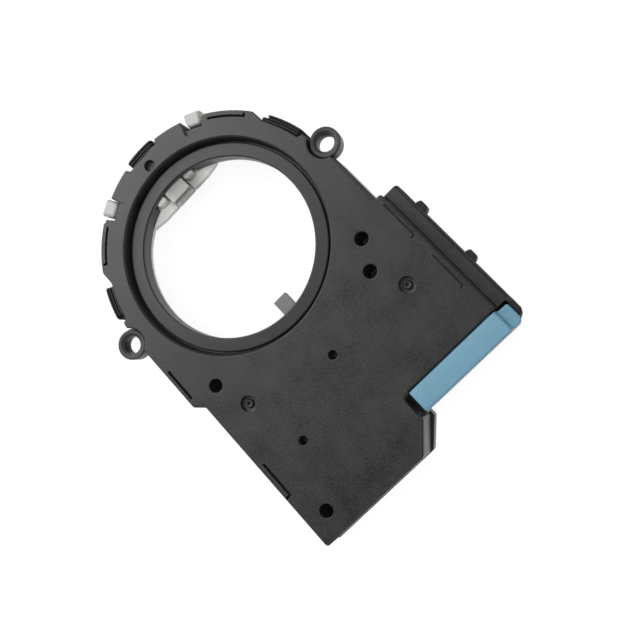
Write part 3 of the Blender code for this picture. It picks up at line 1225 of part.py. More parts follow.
def make_board(parts, cutters, axes, materials):
    """The circuit board and the chips and capacitors soldered on it."""
    case = axes["case"]
    edge = BOX_WALL + BOARD_GAP
    arc_radius = SPLIT_RADIUS + BOARD_GAP * 1.4
    swing = math.degrees(math.acos(BOARD_LEFT / arc_radius))
    outline = [
        (BOARD_LEFT, BOX_BOTTOM + edge),
        (BOX_RIGHT - edge, BOX_BOTTOM + edge),
        (BOX_RIGHT - edge, CHAMFER_LOW - edge * 0.7),
        (CHAMFER_X - edge, CHAMFER_TOP - edge * 1.6),
        (BOARD_NOTCH_X + edge, CHAMFER_TOP - edge * 1.6),
        (BOARD_NOTCH_X, BOARD_NOTCH_Y),
        (BOARD_NOTCH_X, BOX_TOP - edge),
        (BOARD_LEFT, BOX_TOP - edge),
    ]
    outline += arc(arc_radius, swing, -swing)
    board = prism("circuit_board", outline, BOARD_LOW, BOARD_TOP, case, parts, materials["board"])
    holes = []
    for i, place in enumerate(STAKE_PLACES):
        holes.append(disc(f"stake_hole_{i}", place, STAKE_PIN_RADIUS + PLAY, 0.0, FACE_TOP, case,
                          TINY_STEPS))
    for i, y in enumerate(pin_places()):
        holes.append(disc(f"pin_way_{i}", (PIN_LEG_X, y), PIN_SIZE / 2 + 2 * PIN_HOLE_GAP, 0.0, FACE_TOP,
                          case, 8))
    combine(board, "DIFFERENCE", holes, cutters)
    chips = [("sensor_chip_1", GEAR_1_PLACE, SENSOR_SIZE), ("sensor_chip_2", GEAR_2_PLACE, SENSOR_SIZE)]
    for name, place, size in chips + list(PARTS_ON_BOARD):
        low = BOARD_TOP + SOLDER_GAP
        corner = (place[0] - size[0] / 2, place[1] - size[1] / 2, low)
        other = (place[0] + size[0] / 2, place[1] + size[1] / 2, low + size[2])
        kind = "capacitor" if name.startswith("capacitor") else "chip"
        block(name, corner, other, case, parts, materials[kind])
    return board


def make_header(parts, cutters, axes, materials):
    """The light blue connector header: shroud, the bar seen beside the face, its step, and pins."""
    case = axes["case"]
    header = block(
        "connector_header", (HEADER_LEFT, HEADER_LOW_Y, HEADER_LOW),
        (HEADER_RIGHT - PIN_HOLE_GAP, HEADER_HIGH_Y, HEADER_TOP), case, parts,
        materials["blue_plastic"],
    )
    bar_top = FACE_TOP - HEADER_BAR_DROP
    bar_low = bar_top - HEADER_BAR_DEPTH
    bar_outline = rounded([
        (HEADER_BAR_LEFT, HEADER_BAR_LOW_Y, HEADER_BAR_ROUND),
        (HEADER_RIGHT, HEADER_BAR_LOW_Y, HEADER_BAR_ROUND),
        (HEADER_RIGHT, HEADER_BAR_HIGH_Y, HEADER_BAR_ROUND),
        (HEADER_BAR_LEFT, HEADER_BAR_HIGH_Y, HEADER_BAR_ROUND),
    ])
    bar = lofted("header_bar", [
        (bar_low, bar_outline),
        (bar_top - HEADER_BAR_ROUND, bar_outline),
        (bar_top - HEADER_BAR_ROUND * 0.3, grown(bar_outline, -HEADER_BAR_ROUND * 0.3)),
        (bar_top, grown(bar_outline, -HEADER_BAR_ROUND * 0.8)),
    ], case)
    step_top = FACE_TOP - HEADER_STEP_DROP
    side_step = prism("header_step", rounded([
        (HEADER_STEP_LEFT, HEADER_HIGH_Y - HEADER_WALL, 0.0),
        (HEADER_RIGHT - SEAM, HEADER_HIGH_Y - HEADER_WALL, 0.0),
        (HEADER_RIGHT - SEAM, HEADER_STEP_END, 0.0012),
        (HEADER_STEP_LEFT, HEADER_STEP_END, 0.0003),
    ]), step_top - HEADER_STEP_DEPTH, step_top, case)
    combine(header, "UNION", [bar, side_step], cutters)
    cavity = block(
        "header_cavity",
        (HEADER_LEFT + HEADER_BACK, HEADER_LOW_Y + HEADER_WALL, HEADER_LOW + HEADER_WALL),
        (HEADER_RIGHT + HEADER_WALL, HEADER_HIGH_Y - HEADER_WALL, HEADER_TOP - HEADER_WALL),
        case,
    )
    ways = []
    reach = PIN_SIZE / 2 + PIN_HOLE_GAP
    for i, y in enumerate(pin_places()):
        low = (HEADER_LEFT - HEADER_WALL, y - reach, PIN_Z - reach)
        high = (HEADER_LEFT + HEADER_BACK + HEADER_WALL, y + reach, PIN_Z + reach)
        ways.append(block(f"header_way_{i}", low, high, case))
    combine(header, "DIFFERENCE", [cavity] + ways, cutters)
    for i, y in enumerate(pin_places()):
        make_pin(i + 1, y, parts, case, materials["tinned_metal"])
    return header


def make_pin(number, y, parts, case, material):
    """A square pin bent down to the board: its side outline, extruded by its width."""
    half = PIN_SIZE / 2
    tip = HEADER_LEFT + HEADER_BACK + PIN_REACH
    foot = BOARD_LOW - PIN_TAIL
    side = [
        (PIN_LEG_X - half, foot),
        (PIN_LEG_X + half, foot),
        (PIN_LEG_X + half, PIN_Z - half),
        (tip - half, PIN_Z - half),
        (tip, PIN_Z - half * 0.3),
        (tip, PIN_Z + half * 0.3),
        (tip - half, PIN_Z + half),
        (PIN_LEG_X, PIN_Z + half),
        (PIN_LEG_X - half, PIN_Z),
    ]
    curve = bpy.data.curves.new(f"pin_{number}_outline", "CURVE")
    curve.dimensions = "2D"
    curve.fill_mode = "BOTH"
    curve.extrude = half
    spline = curve.splines.new("POLY")
    spline.points.add(len(side) - 1)
    for point, (x, z) in zip(spline.points, side):
        point.co = (x, z, 0.0, 1.0)
    spline.use_cyclic_u = True
    pin = bpy.data.objects.new(f"connector_pin_{number}", curve)
    pin.parent = case
    pin.rotation_euler.x = math.radians(90.0)
    pin.location.y = y
    curve.materials.append(material)
    parts.objects.link(pin)
    return pin


def make_sensor():
    """Build every part of the sensor."""
    parts, cutters, axes = start_scene()
    materials = make_materials()
    make_front_housing(parts, cutters, axes, materials)
    make_rear_cover(parts, cutters, axes, materials)
    make_rotor(parts, cutters, axes, materials)
    make_driver(parts, cutters, axes, materials)
    make_bearing_ring(parts, cutters, axes, materials)
    make_measuring_gear(1, parts, cutters, axes, materials)
    make_measuring_gear(2, parts, cutters, axes, materials)
    make_gear_plate(parts, cutters, axes, materials)
    make_board(parts, cutters, axes, materials)
    make_header(parts, cutters, axes, materials)
    bpy.context.view_layer.update()


make_sensor()
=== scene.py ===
import math
import bmesh
import bpy
import mathutils
import numpy as np
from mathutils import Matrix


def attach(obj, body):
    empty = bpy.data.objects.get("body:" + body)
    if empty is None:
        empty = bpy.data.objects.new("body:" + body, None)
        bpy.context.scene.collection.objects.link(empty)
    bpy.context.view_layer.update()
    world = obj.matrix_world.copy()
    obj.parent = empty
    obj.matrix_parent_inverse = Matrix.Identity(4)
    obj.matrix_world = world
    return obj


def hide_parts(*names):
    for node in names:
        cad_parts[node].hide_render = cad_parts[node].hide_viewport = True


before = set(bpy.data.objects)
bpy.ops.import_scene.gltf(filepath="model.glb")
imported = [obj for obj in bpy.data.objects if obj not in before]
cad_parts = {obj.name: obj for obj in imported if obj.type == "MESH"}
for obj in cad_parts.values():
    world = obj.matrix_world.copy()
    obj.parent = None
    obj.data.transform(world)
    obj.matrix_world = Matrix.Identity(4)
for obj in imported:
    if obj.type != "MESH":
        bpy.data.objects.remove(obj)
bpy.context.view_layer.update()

# Front housing
# The deep shell is one injection moulding in black glass-filled plastic, so it has a fine eroded grain, a
# small radius on every edge and a little draft on every wall. Its face, walls, ring, lugs and ledge are one
# piece. Lengths are in millimetres from the bore's axis and the plane that the sensor rests on.
FROM_BORE = np.array([17.36, 1.5875, 0.0])
FACE = 18.0
CASE_R = 32.8
OPENING_R = 26.0
RING_FOOT = 6.25
BOX_FOOT = 5.05
# Width of the level strip between a face's flat middle and the start of its rounded edge
GUARD = 0.05


def ring_points(radius, start, end, centre=(0.0, 0.0), step=1.0):
    """Points of an arc: centre plus radius times (cosine, sine) of angles at even steps in degrees."""
    count = max(2, int(math.ceil(abs(end - start) / step)) + 1)
    turn = np.radians(np.linspace(start, end, count))
    return np.column_stack([centre[0] + radius * np.cos(turn), centre[1] + radius * np.sin(turn)])


def moulded(corners, soft, spacing=0.2):
    """Closed outline walked at an even spacing, then blurred along its length by a bell curve of width
    soft, so that every corner becomes a small radius. More columns than x and y are carried along."""
    corners = np.asarray(corners, float)
    closed = np.vstack([corners, corners[:1]])
    walk = np.append(0.0, np.cumsum(np.hypot(*np.diff(closed[:, :2], axis=0).T) + 1e-9))
    count = int(walk[-1] / spacing)
    places = np.arange(count) * walk[-1] / count
    even = np.stack([np.interp(places, walk, column) for column in closed.T])
    waves = np.fft.rfftfreq(count, walk[-1] / count)
    blur = np.exp(-2.0 * (np.pi * waves * soft) ** 2)
    return np.fft.irfft(np.fft.rfft(even, axis=1) * blur, count, axis=1).T


def circle(radius, centre=(0.0, 0.0), steps=96, hole=False):
    """Closed circle, run backwards when it bounds a hole."""
    turn = np.arange(steps) * (math.tau / steps) * (-1.0 if hole else 1.0)
    return np.column_stack([centre[0] + radius * np.cos(turn), centre[1] + radius * np.sin(turn)])


def other_side(line):
    """Outline mirrored to the other side of the bore, run backwards so that it still turns the same way."""
    return line[::-1] * (1.0, -1.0)


def outward(line):
    """Unit normal that points away from the material at each point of an outline."""
    step = np.roll(line[:, :2], -1, axis=0) - np.roll(line[:, :2], 1, axis=0)
    step /= np.linalg.norm(step, axis=1, keepdims=True)
    return np.column_stack([step[:, 1], -step[:, 0]])


def moved(line, distance):
    """Outline moved away from the material by a distance, one value or one for each point."""
    return line[:, :2] + outward(line) * np.reshape(np.broadcast_to(distance, len(line)), (-1, 1))


def grid(points):
    """Quads over an array of rows of points; the points of a row close up on themselves."""
    rows, count = points.shape[:2]
    here = np.arange(rows * count).reshape(rows, count)
    there = np.roll(here, -1, axis=1)
    quads = np.stack([here[:-1], here[1:], there[1:], there[:-1]], axis=-1)
    return points.reshape(-1, 3), quads.reshape(-1, 4)


def band(line, rows):
    """Wall carried along an outline: each row is its distance out of the outline and its height."""
    layers = [
        np.column_stack([moved(line, distance), np.broadcast_to(height, len(line))])
        for distance, height in rows
    ]
    return grid(np.stack(layers))


def turned(rows, centre=(0.0, 0.0), steps=192):
    """Profile of (radius, height) rows turned about an upright axis: up a bore, out across the top, down."""
    turn = np.arange(steps) * (math.tau / steps)
    radius, height = np.asarray(rows, float).T[:, :, None]
    x = centre[0] + radius * np.cos(turn)
    y = centre[1] + radius * np.sin(turn)
    return grid(np.stack([x, y, np.broadcast_to(height, x.shape)], axis=-1))


def over(radius, height, steps=5):
    """Rows from a level face over a quarter circle on to the wall below it."""
    turn = np.linspace(0.0, math.pi / 2, steps)
    rows = [(-radius * (1.0 - math.sin(t)), height - radius * (1.0 - math.cos(t))) for t in turn]
    return [(-radius - GUARD, height)] + rows


def under(radius, height, steps=4):
    """Rows from a wall round a quarter circle on to the level face under it."""
    return [(distance, 2.0 * height - level) for distance, level in reversed(over(radius, height, steps))]


def plate(height, loops, down=False):
    """Level face between closed outlines: constrained triangles whose middle is inside an odd number."""
    points = np.vstack([loop[:, :2] for loop in loops])
    starts = np.cumsum([0] + [len(loop) for loop in loops])
    here = np.arange(len(points))
    there = np.concatenate([np.roll(np.arange(a, b), -1) for a, b in zip(starts[:-1], starts[1:])])
    edges = np.column_stack([here, there]).tolist()
    corners, _, faces, *_ = mathutils.geometry.delaunay_2d_cdt(points.tolist(), edges, [], 0, 1e-6)
    corners = np.array([tuple(corner) for corner in corners])
    faces = np.array([tuple(face) for face in faces])
    middle = corners[faces].mean(axis=1)
    a, b = points[here], points[there]
    spans = (a[:, 1] > middle[:, 1:2]) != (b[:, 1] > middle[:, 1:2])
    rise = np.where(b[:, 1] == a[:, 1], 1.0, b[:, 1] - a[:, 1])
    cross = a[:, 0] + (b[:, 0] - a[:, 0]) * (middle[:, 1:2] - a[:, 1]) / rise
    inside = (spans & (middle[:, :1] < cross)).sum(axis=1) % 2 == 1
    faces = faces[inside]
    return np.column_stack([corners, np.full(len(corners), height)]), faces[:, ::-1] if down else faces


def slab(line, low, high, top=0.15, foot=0.08, holes=()):
    """Body between two heights with rounded upper and lower edges, also round its holes."""
    loops = [line, *holes]
    patches = [band(loop, over(top, high) + under(foot, low)) for loop in loops]
    patches.append(plate(high, [moved(loop, -top - GUARD) for loop in loops]))
    patches.append(plate(low, [moved(loop, -foot - GUARD) for loop in loops], down=True))
    return patches


def made(name, node, body, material, patches):
    """Object of all patches, in metres in the sensor's own frame, smooth but for its real edges."""
    points = []
    faces = []
    start = 0
    for corners, quads in patches:
        points.append(corners)
        faces += (quads + start).tolist()
        start += len(corners)
    mesh = bpy.data.meshes.new(name)
    mesh.from_pydata(((np.vstack(points) - FROM_BORE) * 0.001).tolist(), [], faces)
    bm = bmesh.new()
    bm.from_mesh(mesh)
    bmesh.ops.remove_doubles(bm, verts=bm.verts, dist=2e-7)
    bmesh.ops.dissolve_degenerate(bm, edges=bm.edges, dist=1e-8)
    bm.to_mesh(mesh)
    bm.free()
    mesh.shade_smooth()
    mesh.set_sharp_from_angle(angle=math.radians(38.0))
    mesh.materials.append(material)
    piece = bpy.data.objects.new(name, mesh)
    bpy.context.scene.collection.objects.link(piece)
    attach(piece, body)
    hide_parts(node)


def plastic(name, colour, rough, grain=0.06, size=9000.0, mottle=0.12):
    """Moulded plastic: an eroded grain in the bump, and a slow change of colour and gloss over it."""
    material = bpy.data.materials.new(name)
    material.use_nodes = True
    tree = material.node_tree
    shader = tree.nodes["Principled BSDF"]
    place = tree.nodes.new("ShaderNodeTexCoord")

    fine = tree.nodes.new("ShaderNodeTexNoise")
    fine.inputs["Scale"].default_value = size
    fine.inputs["Detail"].default_value = 3.0
    tree.links.new(place.outputs["Object"], fine.inputs["Vector"])
    bump = tree.nodes.new("ShaderNodeBump")
    bump.inputs["Strength"].default_value = grain
    bump.inputs["Distance"].default_value = 0.00004
    tree.links.new(fine.outputs["Fac"], bump.inputs["Height"])
    tree.links.new(bump.outputs["Normal"], shader.inputs["Normal"])

    slow = tree.nodes.new("ShaderNodeTexNoise")
    slow.inputs["Scale"].default_value = 120.0
    slow.inputs["Detail"].default_value = 6.0
    slow.inputs["Roughness"].default_value = 0.62
    tree.links.new(place.outputs["Object"], slow.inputs["Vector"])
    both = tree.nodes.new("ShaderNodeMath")
    both.operation = "MULTIPLY_ADD"
    tree.links.new(fine.outputs["Fac"], both.inputs[0])
    both.inputs[1].default_value = 1.0
    tree.links.new(slow.outputs["Fac"], both.inputs[2])
    calm, lively = 0.6, 1.4

    gloss = tree.nodes.new("ShaderNodeMapRange")
    gloss.inputs["From Min"].default_value = calm
    gloss.inputs["From Max"].default_value = lively
    gloss.inputs["To Min"].default_value = rough * (1.0 - mottle / 2)
    gloss.inputs["To Max"].default_value = rough * (1.0 + mottle / 2)
    tree.links.new(both.outputs["Value"], gloss.inputs["Value"])
    tree.links.new(gloss.outputs["Result"], shader.inputs["Roughness"])

    spread = tree.nodes.new("ShaderNodeMapRange")
    spread.inputs["From Min"].default_value = calm
    spread.inputs["From Max"].default_value = lively
    tree.links.new(both.outputs["Value"], spread.inputs["Value"])
    shade = tree.nodes.new("ShaderNodeMix")
    shade.data_type = "RGBA"
    shade.inputs["A"].default_value = (*[c * (1.0 - mottle) for c in colour], 1.0)
    shade.inputs["B"].default_value = (*[c * (1.0 + mottle) for c in colour], 1.0)
    tree.links.new(spread.outputs["Result"], shade.inputs["Factor"])
    tree.links.new(shade.outputs["Result"], shader.inputs["Base Color"])
    return material


black_case = plastic("black_glass_filled_plastic", (0.0125, 0.0129, 0.0134), 0.43, 0.9, 2600.0, 0.7)

# Places on the case's outline: lugs and the bites round them, shoulder, box sides and the cut corner
LUG_Y = 34.25
LUG_R = 3.75
BITE_R = 4.1
LOBE_R = 32.2
LOWER_EDGE = -32.4
SHOULDER = (18.8, 32.9)
BOX_TOP = 34.45
BOX_RIGHT = 67.87
BOX_LOW = -30.04
CONNECTOR_SIDE = 55.38
CHAMFER = ((67.87, 0.2), (61.6, 6.2))


def tagged(points, share):
    """Points with a further column: how far the box wall's step stands out there, from none to all."""
    return np.column_stack([points, np.full(len(points), share)])


def case_corners(recessed):
    """Corners of the case from above: ring part with lug bites, notches and flats, then the box part."""
    lobe = math.degrees(math.acos((LOBE_R**2 + LUG_Y**2 - BITE_R**2) / (2 * LOBE_R * LUG_Y)))
    left = [ring_points(LOBE_R, 90.0 + lobe, 99.0), ring_points(31.0, 100.2, 118.0)]
    left.append(ring_points(CASE_R, 123.5, 145.7 if recessed else 147.4))
    left.append(ring_points(29.0, 147.1, 156.3) if recessed else ring_points(30.3, 147.9, 156.2))
    left += [ring_points(CASE_R, 156.8, 170.7), [(-31.2, 4.6)]]
    left = np.vstack(left)
    left = np.vstack([left, other_side(left)])
    upper_x = math.sqrt(BITE_R**2 - (LUG_Y - SHOULDER[1])**2)
    lower_x = math.sqrt(BITE_R**2 - (LUG_Y + LOWER_EDGE)**2)
    across, along = LOBE_R * math.sin(math.radians(lobe)), LOBE_R * math.cos(math.radians(lobe))
    bite_start = math.degrees(math.atan2(LUG_Y - along, -across))
    low_end = math.degrees(math.atan2(LUG_Y + LOWER_EDGE, lower_x))
    high_end = math.degrees(math.atan2(SHOULDER[1] - LUG_Y, upper_x))
    low_bite = ring_points(BITE_R, bite_start, low_end, (0.0, -LUG_Y), 4.0)
    high_bite = ring_points(BITE_R, high_end, -bite_start, (0.0, LUG_Y), 4.0)
    box = np.array([
        (lower_x, LOWER_EDGE, 0.0), (lower_x + 0.6, LOWER_EDGE, 1.0), (22.3, LOWER_EDGE, 1.0),
        (24.5, BOX_LOW, 1.0), (BOX_RIGHT, BOX_LOW, 1.0), (*CHAMFER[0], 1.0), (*CHAMFER[1], 1.0),
        (*CHAMFER[1], 0.0), (CONNECTOR_SIDE + 1.3, 6.2, 0.0), (CONNECTOR_SIDE + 0.4, 6.6, 0.0),
        (CONNECTOR_SIDE, 7.5, 0.0), (CONNECTOR_SIDE, BOX_TOP, 0.0),
        (CONNECTOR_SIDE - 0.3, BOX_TOP, 1.0), (18.8, BOX_TOP, 1.0), (*SHOULDER, 1.0),
        (upper_x + 0.6, SHOULDER[1], 1.0), (upper_x, SHOULDER[1], 0.0),
    ])
    return np.vstack([tagged(left, 0.0), tagged(low_bite, 0.0), box, tagged(high_bite, 0.0)])


# Places on the face: deep round holes, staked pins, hollow gear posts and the mark on the ring
DEEP_HOLES = ((22.995, 24.692), (29.802, 20.898), (22.901, -24.602), (62.2, -24.5))
STAKES = ((38.0, 24.8), (31.603, -21.501))
GEAR_POSTS = ((37.477, 1.309), (46.903, -17.513))
RING_MARK = (-28.3, 0.0)
RECESS_FLOOR = 17.2
STEP_SOFT = 0.22


def well(centre, radius, depth, edge=0.18, steps=72, draft=0.06, core=None):
    """Blind round hole in the face: rounded rim, drafted wall, a small fillet and a floor or a core."""
    bottom = FACE - depth
    rows = [(core or 0.0, bottom), (radius - draft - 0.15, bottom), (radius - draft - 0.04, bottom + 0.04)]
    rows += [(radius - draft, bottom + 0.15), (radius, FACE - edge)]
    turn = np.linspace(0.0, math.pi / 2, 5)[1:]
    rows += [(radius + edge * (1.0 - math.cos(t)), FACE - edge + edge * math.sin(t)) for t in turn]
    rows.append((radius + edge + GUARD, FACE))
    rim = circle(radius + edge + GUARD, centre, steps, hole=True)
    return turned(rows, centre, steps), rim


def slot_line(start, end, y, foot, half):
    """Outline of a straight latch slot in the face, with its small tick at the right end."""
    corners = [(start, y + half), (start, y - half)]
    if foot:
        corners += [(end - 2 * half, y - half), (end - 2 * half, y + foot), (end, y + foot)]
    else:
        corners.append((end, y - half))
    corners.append((end, y + half))
    return moulded(corners[::-1], 0.08, 0.06)


def trench(line, depth, edge=0.1):
    """Sunk area inside a hole outline: rounded rim, wall and floor."""
    floor = FACE - depth
    rows = over(edge, FACE, 4) + [(0.03, floor + 0.06), (0.09, floor)]
    return [band(line, rows), plate(floor, [moved(line, 0.09)])], moved(line, -edge - GUARD)


# The face with its bores, and the walls below it: the wall stands back behind the face's edge, steps out
# round the box, leans with its draft and ends on the tray's rim
face_line = moulded(case_corners(True), STEP_SOFT)
wall_line = moulded(case_corners(False), STEP_SOFT)
wall_step = wall_line[:, 2]
deep = (wall_line[:, 0] > 18.2) & ((wall_line[:, 1] > 0) | (wall_line[:, 0] > 24.0))
foot_height = np.where(deep, BOX_FOOT, RING_FOOT)
housing = [
    band(face_line, over(0.32, FACE) + [(0.0, RECESS_FLOOR - 0.01)]),
    band(wall_line, [
        (-0.3, RECESS_FLOOR), (-0.14, RECESS_FLOOR), (-0.03, RECESS_FLOOR - 0.03), (0.0, RECESS_FLOOR - 0.12),
        (0.0, 16.98), (0.1 * wall_step, 16.92), (0.42 * wall_step, 16.72), (0.45 * wall_step, 16.6),
        (0.64 * wall_step, foot_height + 0.2), (0.62 * wall_step - 0.06, foot_height + 0.05),
        (0.6 * wall_step - 0.2, foot_height), (0.45 * wall_step - 1.55, foot_height),
        (0.45 * wall_step - 1.5, foot_height + 3.0),
    ]),
]
rims = [moved(face_line, -0.32 - GUARD)]

opening_rows = [(31.2, RING_FOOT), (28.1, RING_FOOT), (28.0, RING_FOOT + 0.1), (28.0, 15.1), (26.1, 15.1)]
opening_rows.append((OPENING_R, 15.2))
opening_rows += [(OPENING_R, FACE - 2.5), (26.12, FACE - 1.4), (26.28, FACE - 0.6), (26.4, FACE - 0.27)]
opening_rows += [(26.62, FACE - 0.03), (26.69, FACE), (OPENING_R + 0.7, FACE)]
housing.append(turned(opening_rows, steps=288))
rims.append(circle(OPENING_R + 0.7, steps=288, hole=True))
for place in DEEP_HOLES:
    sunk, rim = well(place, 1.65, 9.0)
    housing.append(sunk)
    rims.append(rim)
for place in GEAR_POSTS:
    sunk, rim = well(place, 1.1, 4.6, 0.12, 48)
    housing.append(sunk)
    rims.append(rim)
sunk, rim = well(RING_MARK, 1.4, 1.4, 0.12)
housing.append(sunk)
rims.append(rim)

# Heat-staked pins: each ends in a small hollow nub in its round recess
for place in STAKES:
    sunk, rim = well(place, 1.9, 1.2, 0.16, core=1.12)
    nub = [(1.12, FACE - 1.2), (1.02, FACE - 1.1), (0.98, FACE - 0.62), (0.9, FACE - 0.52)]
    nub += [(0.62, FACE - 0.5), (0.46, FACE - 0.56), (0.4, FACE - 0.7), (0.36, FACE - 1.15)]
    nub.append((0.0, FACE - 1.2))
    housing += [sunk, turned(nub[::-1], place, 72)]
    rims.append(rim)

# Thin slots over the latches: four straight ones, and an arc on each side of the ring
for start, end, y, foot, half, depth in (
    (12.0, 21.0, -31.2, 0.0, 0.3, 1.2),
    (44.3, 54.2, -28.5, -1.3, 0.3, 1.2),
    (21.0, 31.2, 33.75, -0.9, 0.17, 0.6),
    (37.3, 47.2, 33.5, -0.9, 0.17, 0.6),
):
    sunk, rim = trench(slot_line(start, end, y, foot, half), depth)
    housing += sunk
    rims.append(rim)
for side in (1.0, -1.0):
    bow = np.vstack([ring_points(31.15, 126.6, 144.3), ring_points(31.65, 144.3, 127.6)])
    bow = np.vstack([bow, ring_points(32.2, 127.6, 126.6)])
    if side < 0:
        bow = other_side(bow)
    sunk, rim = trench(moulded(bow, 0.09, 0.08), 1.2, 0.08)
    housing += sunk
    rims.append(rim)

# The low floors of the hook notches, and the flat of the face between all its openings
notch_floor = [moved(wall_line, -0.3), moved(face_line, -0.25)]
housing.append(plate(RECESS_FLOOR, notch_floor))
housing.append(plate(FACE, rims))


# Screw lugs, each standing low in its round groove and bored for an M4 screw
LUG_DROP = 1.2
LUG_THICK = 4.0


def lug(side):
    """Turned lug with a rounded rim and a ring round its hole, and the web that joins it to the ring."""
    centre = (0.0, side * LUG_Y)
    top = FACE - LUG_DROP
    foot = top - LUG_THICK
    rows = [(2.35, foot), (2.2, foot + 0.15), (2.2, top - 0.42), (2.26, top - 0.3), (2.5, top - 0.27)]
    rows += [(2.56, top - 0.22), (2.58, top - 0.1), (2.66, top - 0.02), (2.74, top)]
    rows += [(LUG_R + d, z) for d, z in over(0.26, top)] + [(LUG_R, foot + 0.2), (LUG_R - 0.12, foot + 0.03)]
    rows += [(LUG_R - 0.3, foot), (2.35, foot)]
    lens = np.vstack([ring_points(BITE_R + 0.06, 196.0, 344.0, step=4.0),
                      ring_points(2.8, 350.0, 190.0, step=4.0)]) + (0.0, LUG_Y)
    if side < 0:
        lens = other_side(lens)
    return [turned(rows, centre, 120)] + slab(moulded(lens, 0.1), foot + 0.1, 15.2, 0.06)


for side in (1.0, -1.0):
    housing += lug(side)

# Low shelves that the bearing ring's hooks catch, and the wedges that hold the tray's loops
for side in (1.0, -1.0):
    shelf = np.vstack([ring_points(29.5, 158.0, 146.2), ring_points(32.35, 146.6, 157.6)])
    if side < 0:
        shelf = other_side(shelf)
    housing += slab(moulded(shelf, 0.15, 0.1), RING_FOOT, 13.4, 0.2)


def turned_to(patches, angle):
    """Patches turned about the bore's axis by an angle in degrees."""
    c, s = math.cos(math.radians(angle)), math.sin(math.radians(angle))
    spin = np.array([[c, s, 0.0], [-s, c, 0.0], [0.0, 0.0, 1.0]])
    return [(points @ spin, faces) for points, faces in patches]


def wedge(root, reach, half, low, high):
    """Catch with a sloping lead-in: its section carried along its width, both ends closed."""
    tip = root + reach
    side = moulded([(root, low), (tip, low), (tip, high - reach * 0.9), (root + 0.1, high)], 0.07, 0.05)
    rim = [(-0.16, -half), (-0.08, -half + 0.03), (-0.02, -half + 0.09), (0.0, -half + 0.16)]
    rim += [(0.0, half - 0.16), (-0.02, half - 0.09), (-0.08, half - 0.03), (-0.16, half)]
    ends = [plate(half, [moved(side, -0.16)]), plate(-half, [moved(side, -0.16)], down=True)]
    return [(points[:, [0, 2, 1]], faces[:, ::-1]) for points, faces in [band(side, rim[::-1])] + ends]


for angle, root, half in ((180.0, 31.1, 2.3), (110.0, 30.9, 2.4), (-110.0, 30.9, 2.4)):
    housing += turned_to(wedge(root, 1.55, half, 10.4, 13.0), angle)

# The ledge beside the box with its two grooves, and the low end of the connector's pocket
LEDGE_Y = 39.1
LEDGE_TOP = 13.0
LEDGE_END = 56.4
ledge = moulded([
    (18.35, 31.6), (CONNECTOR_SIDE, 31.6), (CONNECTOR_SIDE, 37.8), (LEDGE_END, 37.8), (LEDGE_END, LEDGE_Y),
    (18.95, LEDGE_Y), (18.35, 38.5),
], 0.22)
rows = over(0.25, LEDGE_TOP) + [(0.0, 12.0), (0.0, 5.3), (0.0, 5.1)]
rows += [(-0.12, BOX_FOOT), (-1.5, BOX_FOOT), (-1.5, 8.0)]
housing.append(band(ledge, rows))
ledge_rims = [moved(ledge, -0.25 - GUARD)]
for low, high, depth in ((34.9, 35.4, 0.8), (38.33, 38.63, 0.5)):
    groove = moulded([(18.9, high), (55.2, high), (55.2, low), (18.9, low)], 0.07, 0.06)
    floor = LEDGE_TOP - depth
    housing.append(band(groove, over(0.08, LEDGE_TOP, 4) + [(0.02, floor + 0.05), (0.07, floor)]))
    housing.append(plate(floor, [moved(groove, 0.07)]))
    ledge_rims.append(moved(groove, -0.08 - GUARD))
housing.append(plate(LEDGE_TOP, ledge_rims))
pocket = moulded([(54.5, 4.7), (61.6, 4.7), (61.6, 6.8), (60.7, 7.7), (54.5, 7.7)], 0.2, 0.1)
housing += slab(pocket, BOX_FOOT, 9.6, 0.6)
made("front_shell", "front_housing", "case", black_case, housing)

# Rotor ring
# The ring that the steering column's hub turns: moulded in an unfilled bearing plastic, so smoother and a
# little darker than the case. A shroud covers its 75 teeth, and a window on one side shows the driver.
smooth_black = plastic("bearing_grade_black_plastic", (0.0095, 0.0096, 0.0098), 0.4, 0.2, 2600.0, 0.35)
ROTOR_TOP = 15.85
BORE_R = 22.1
WINDOW_X = 23.4
WINDOW_HALF = 7.0
WINDOW_TOP = 14.5


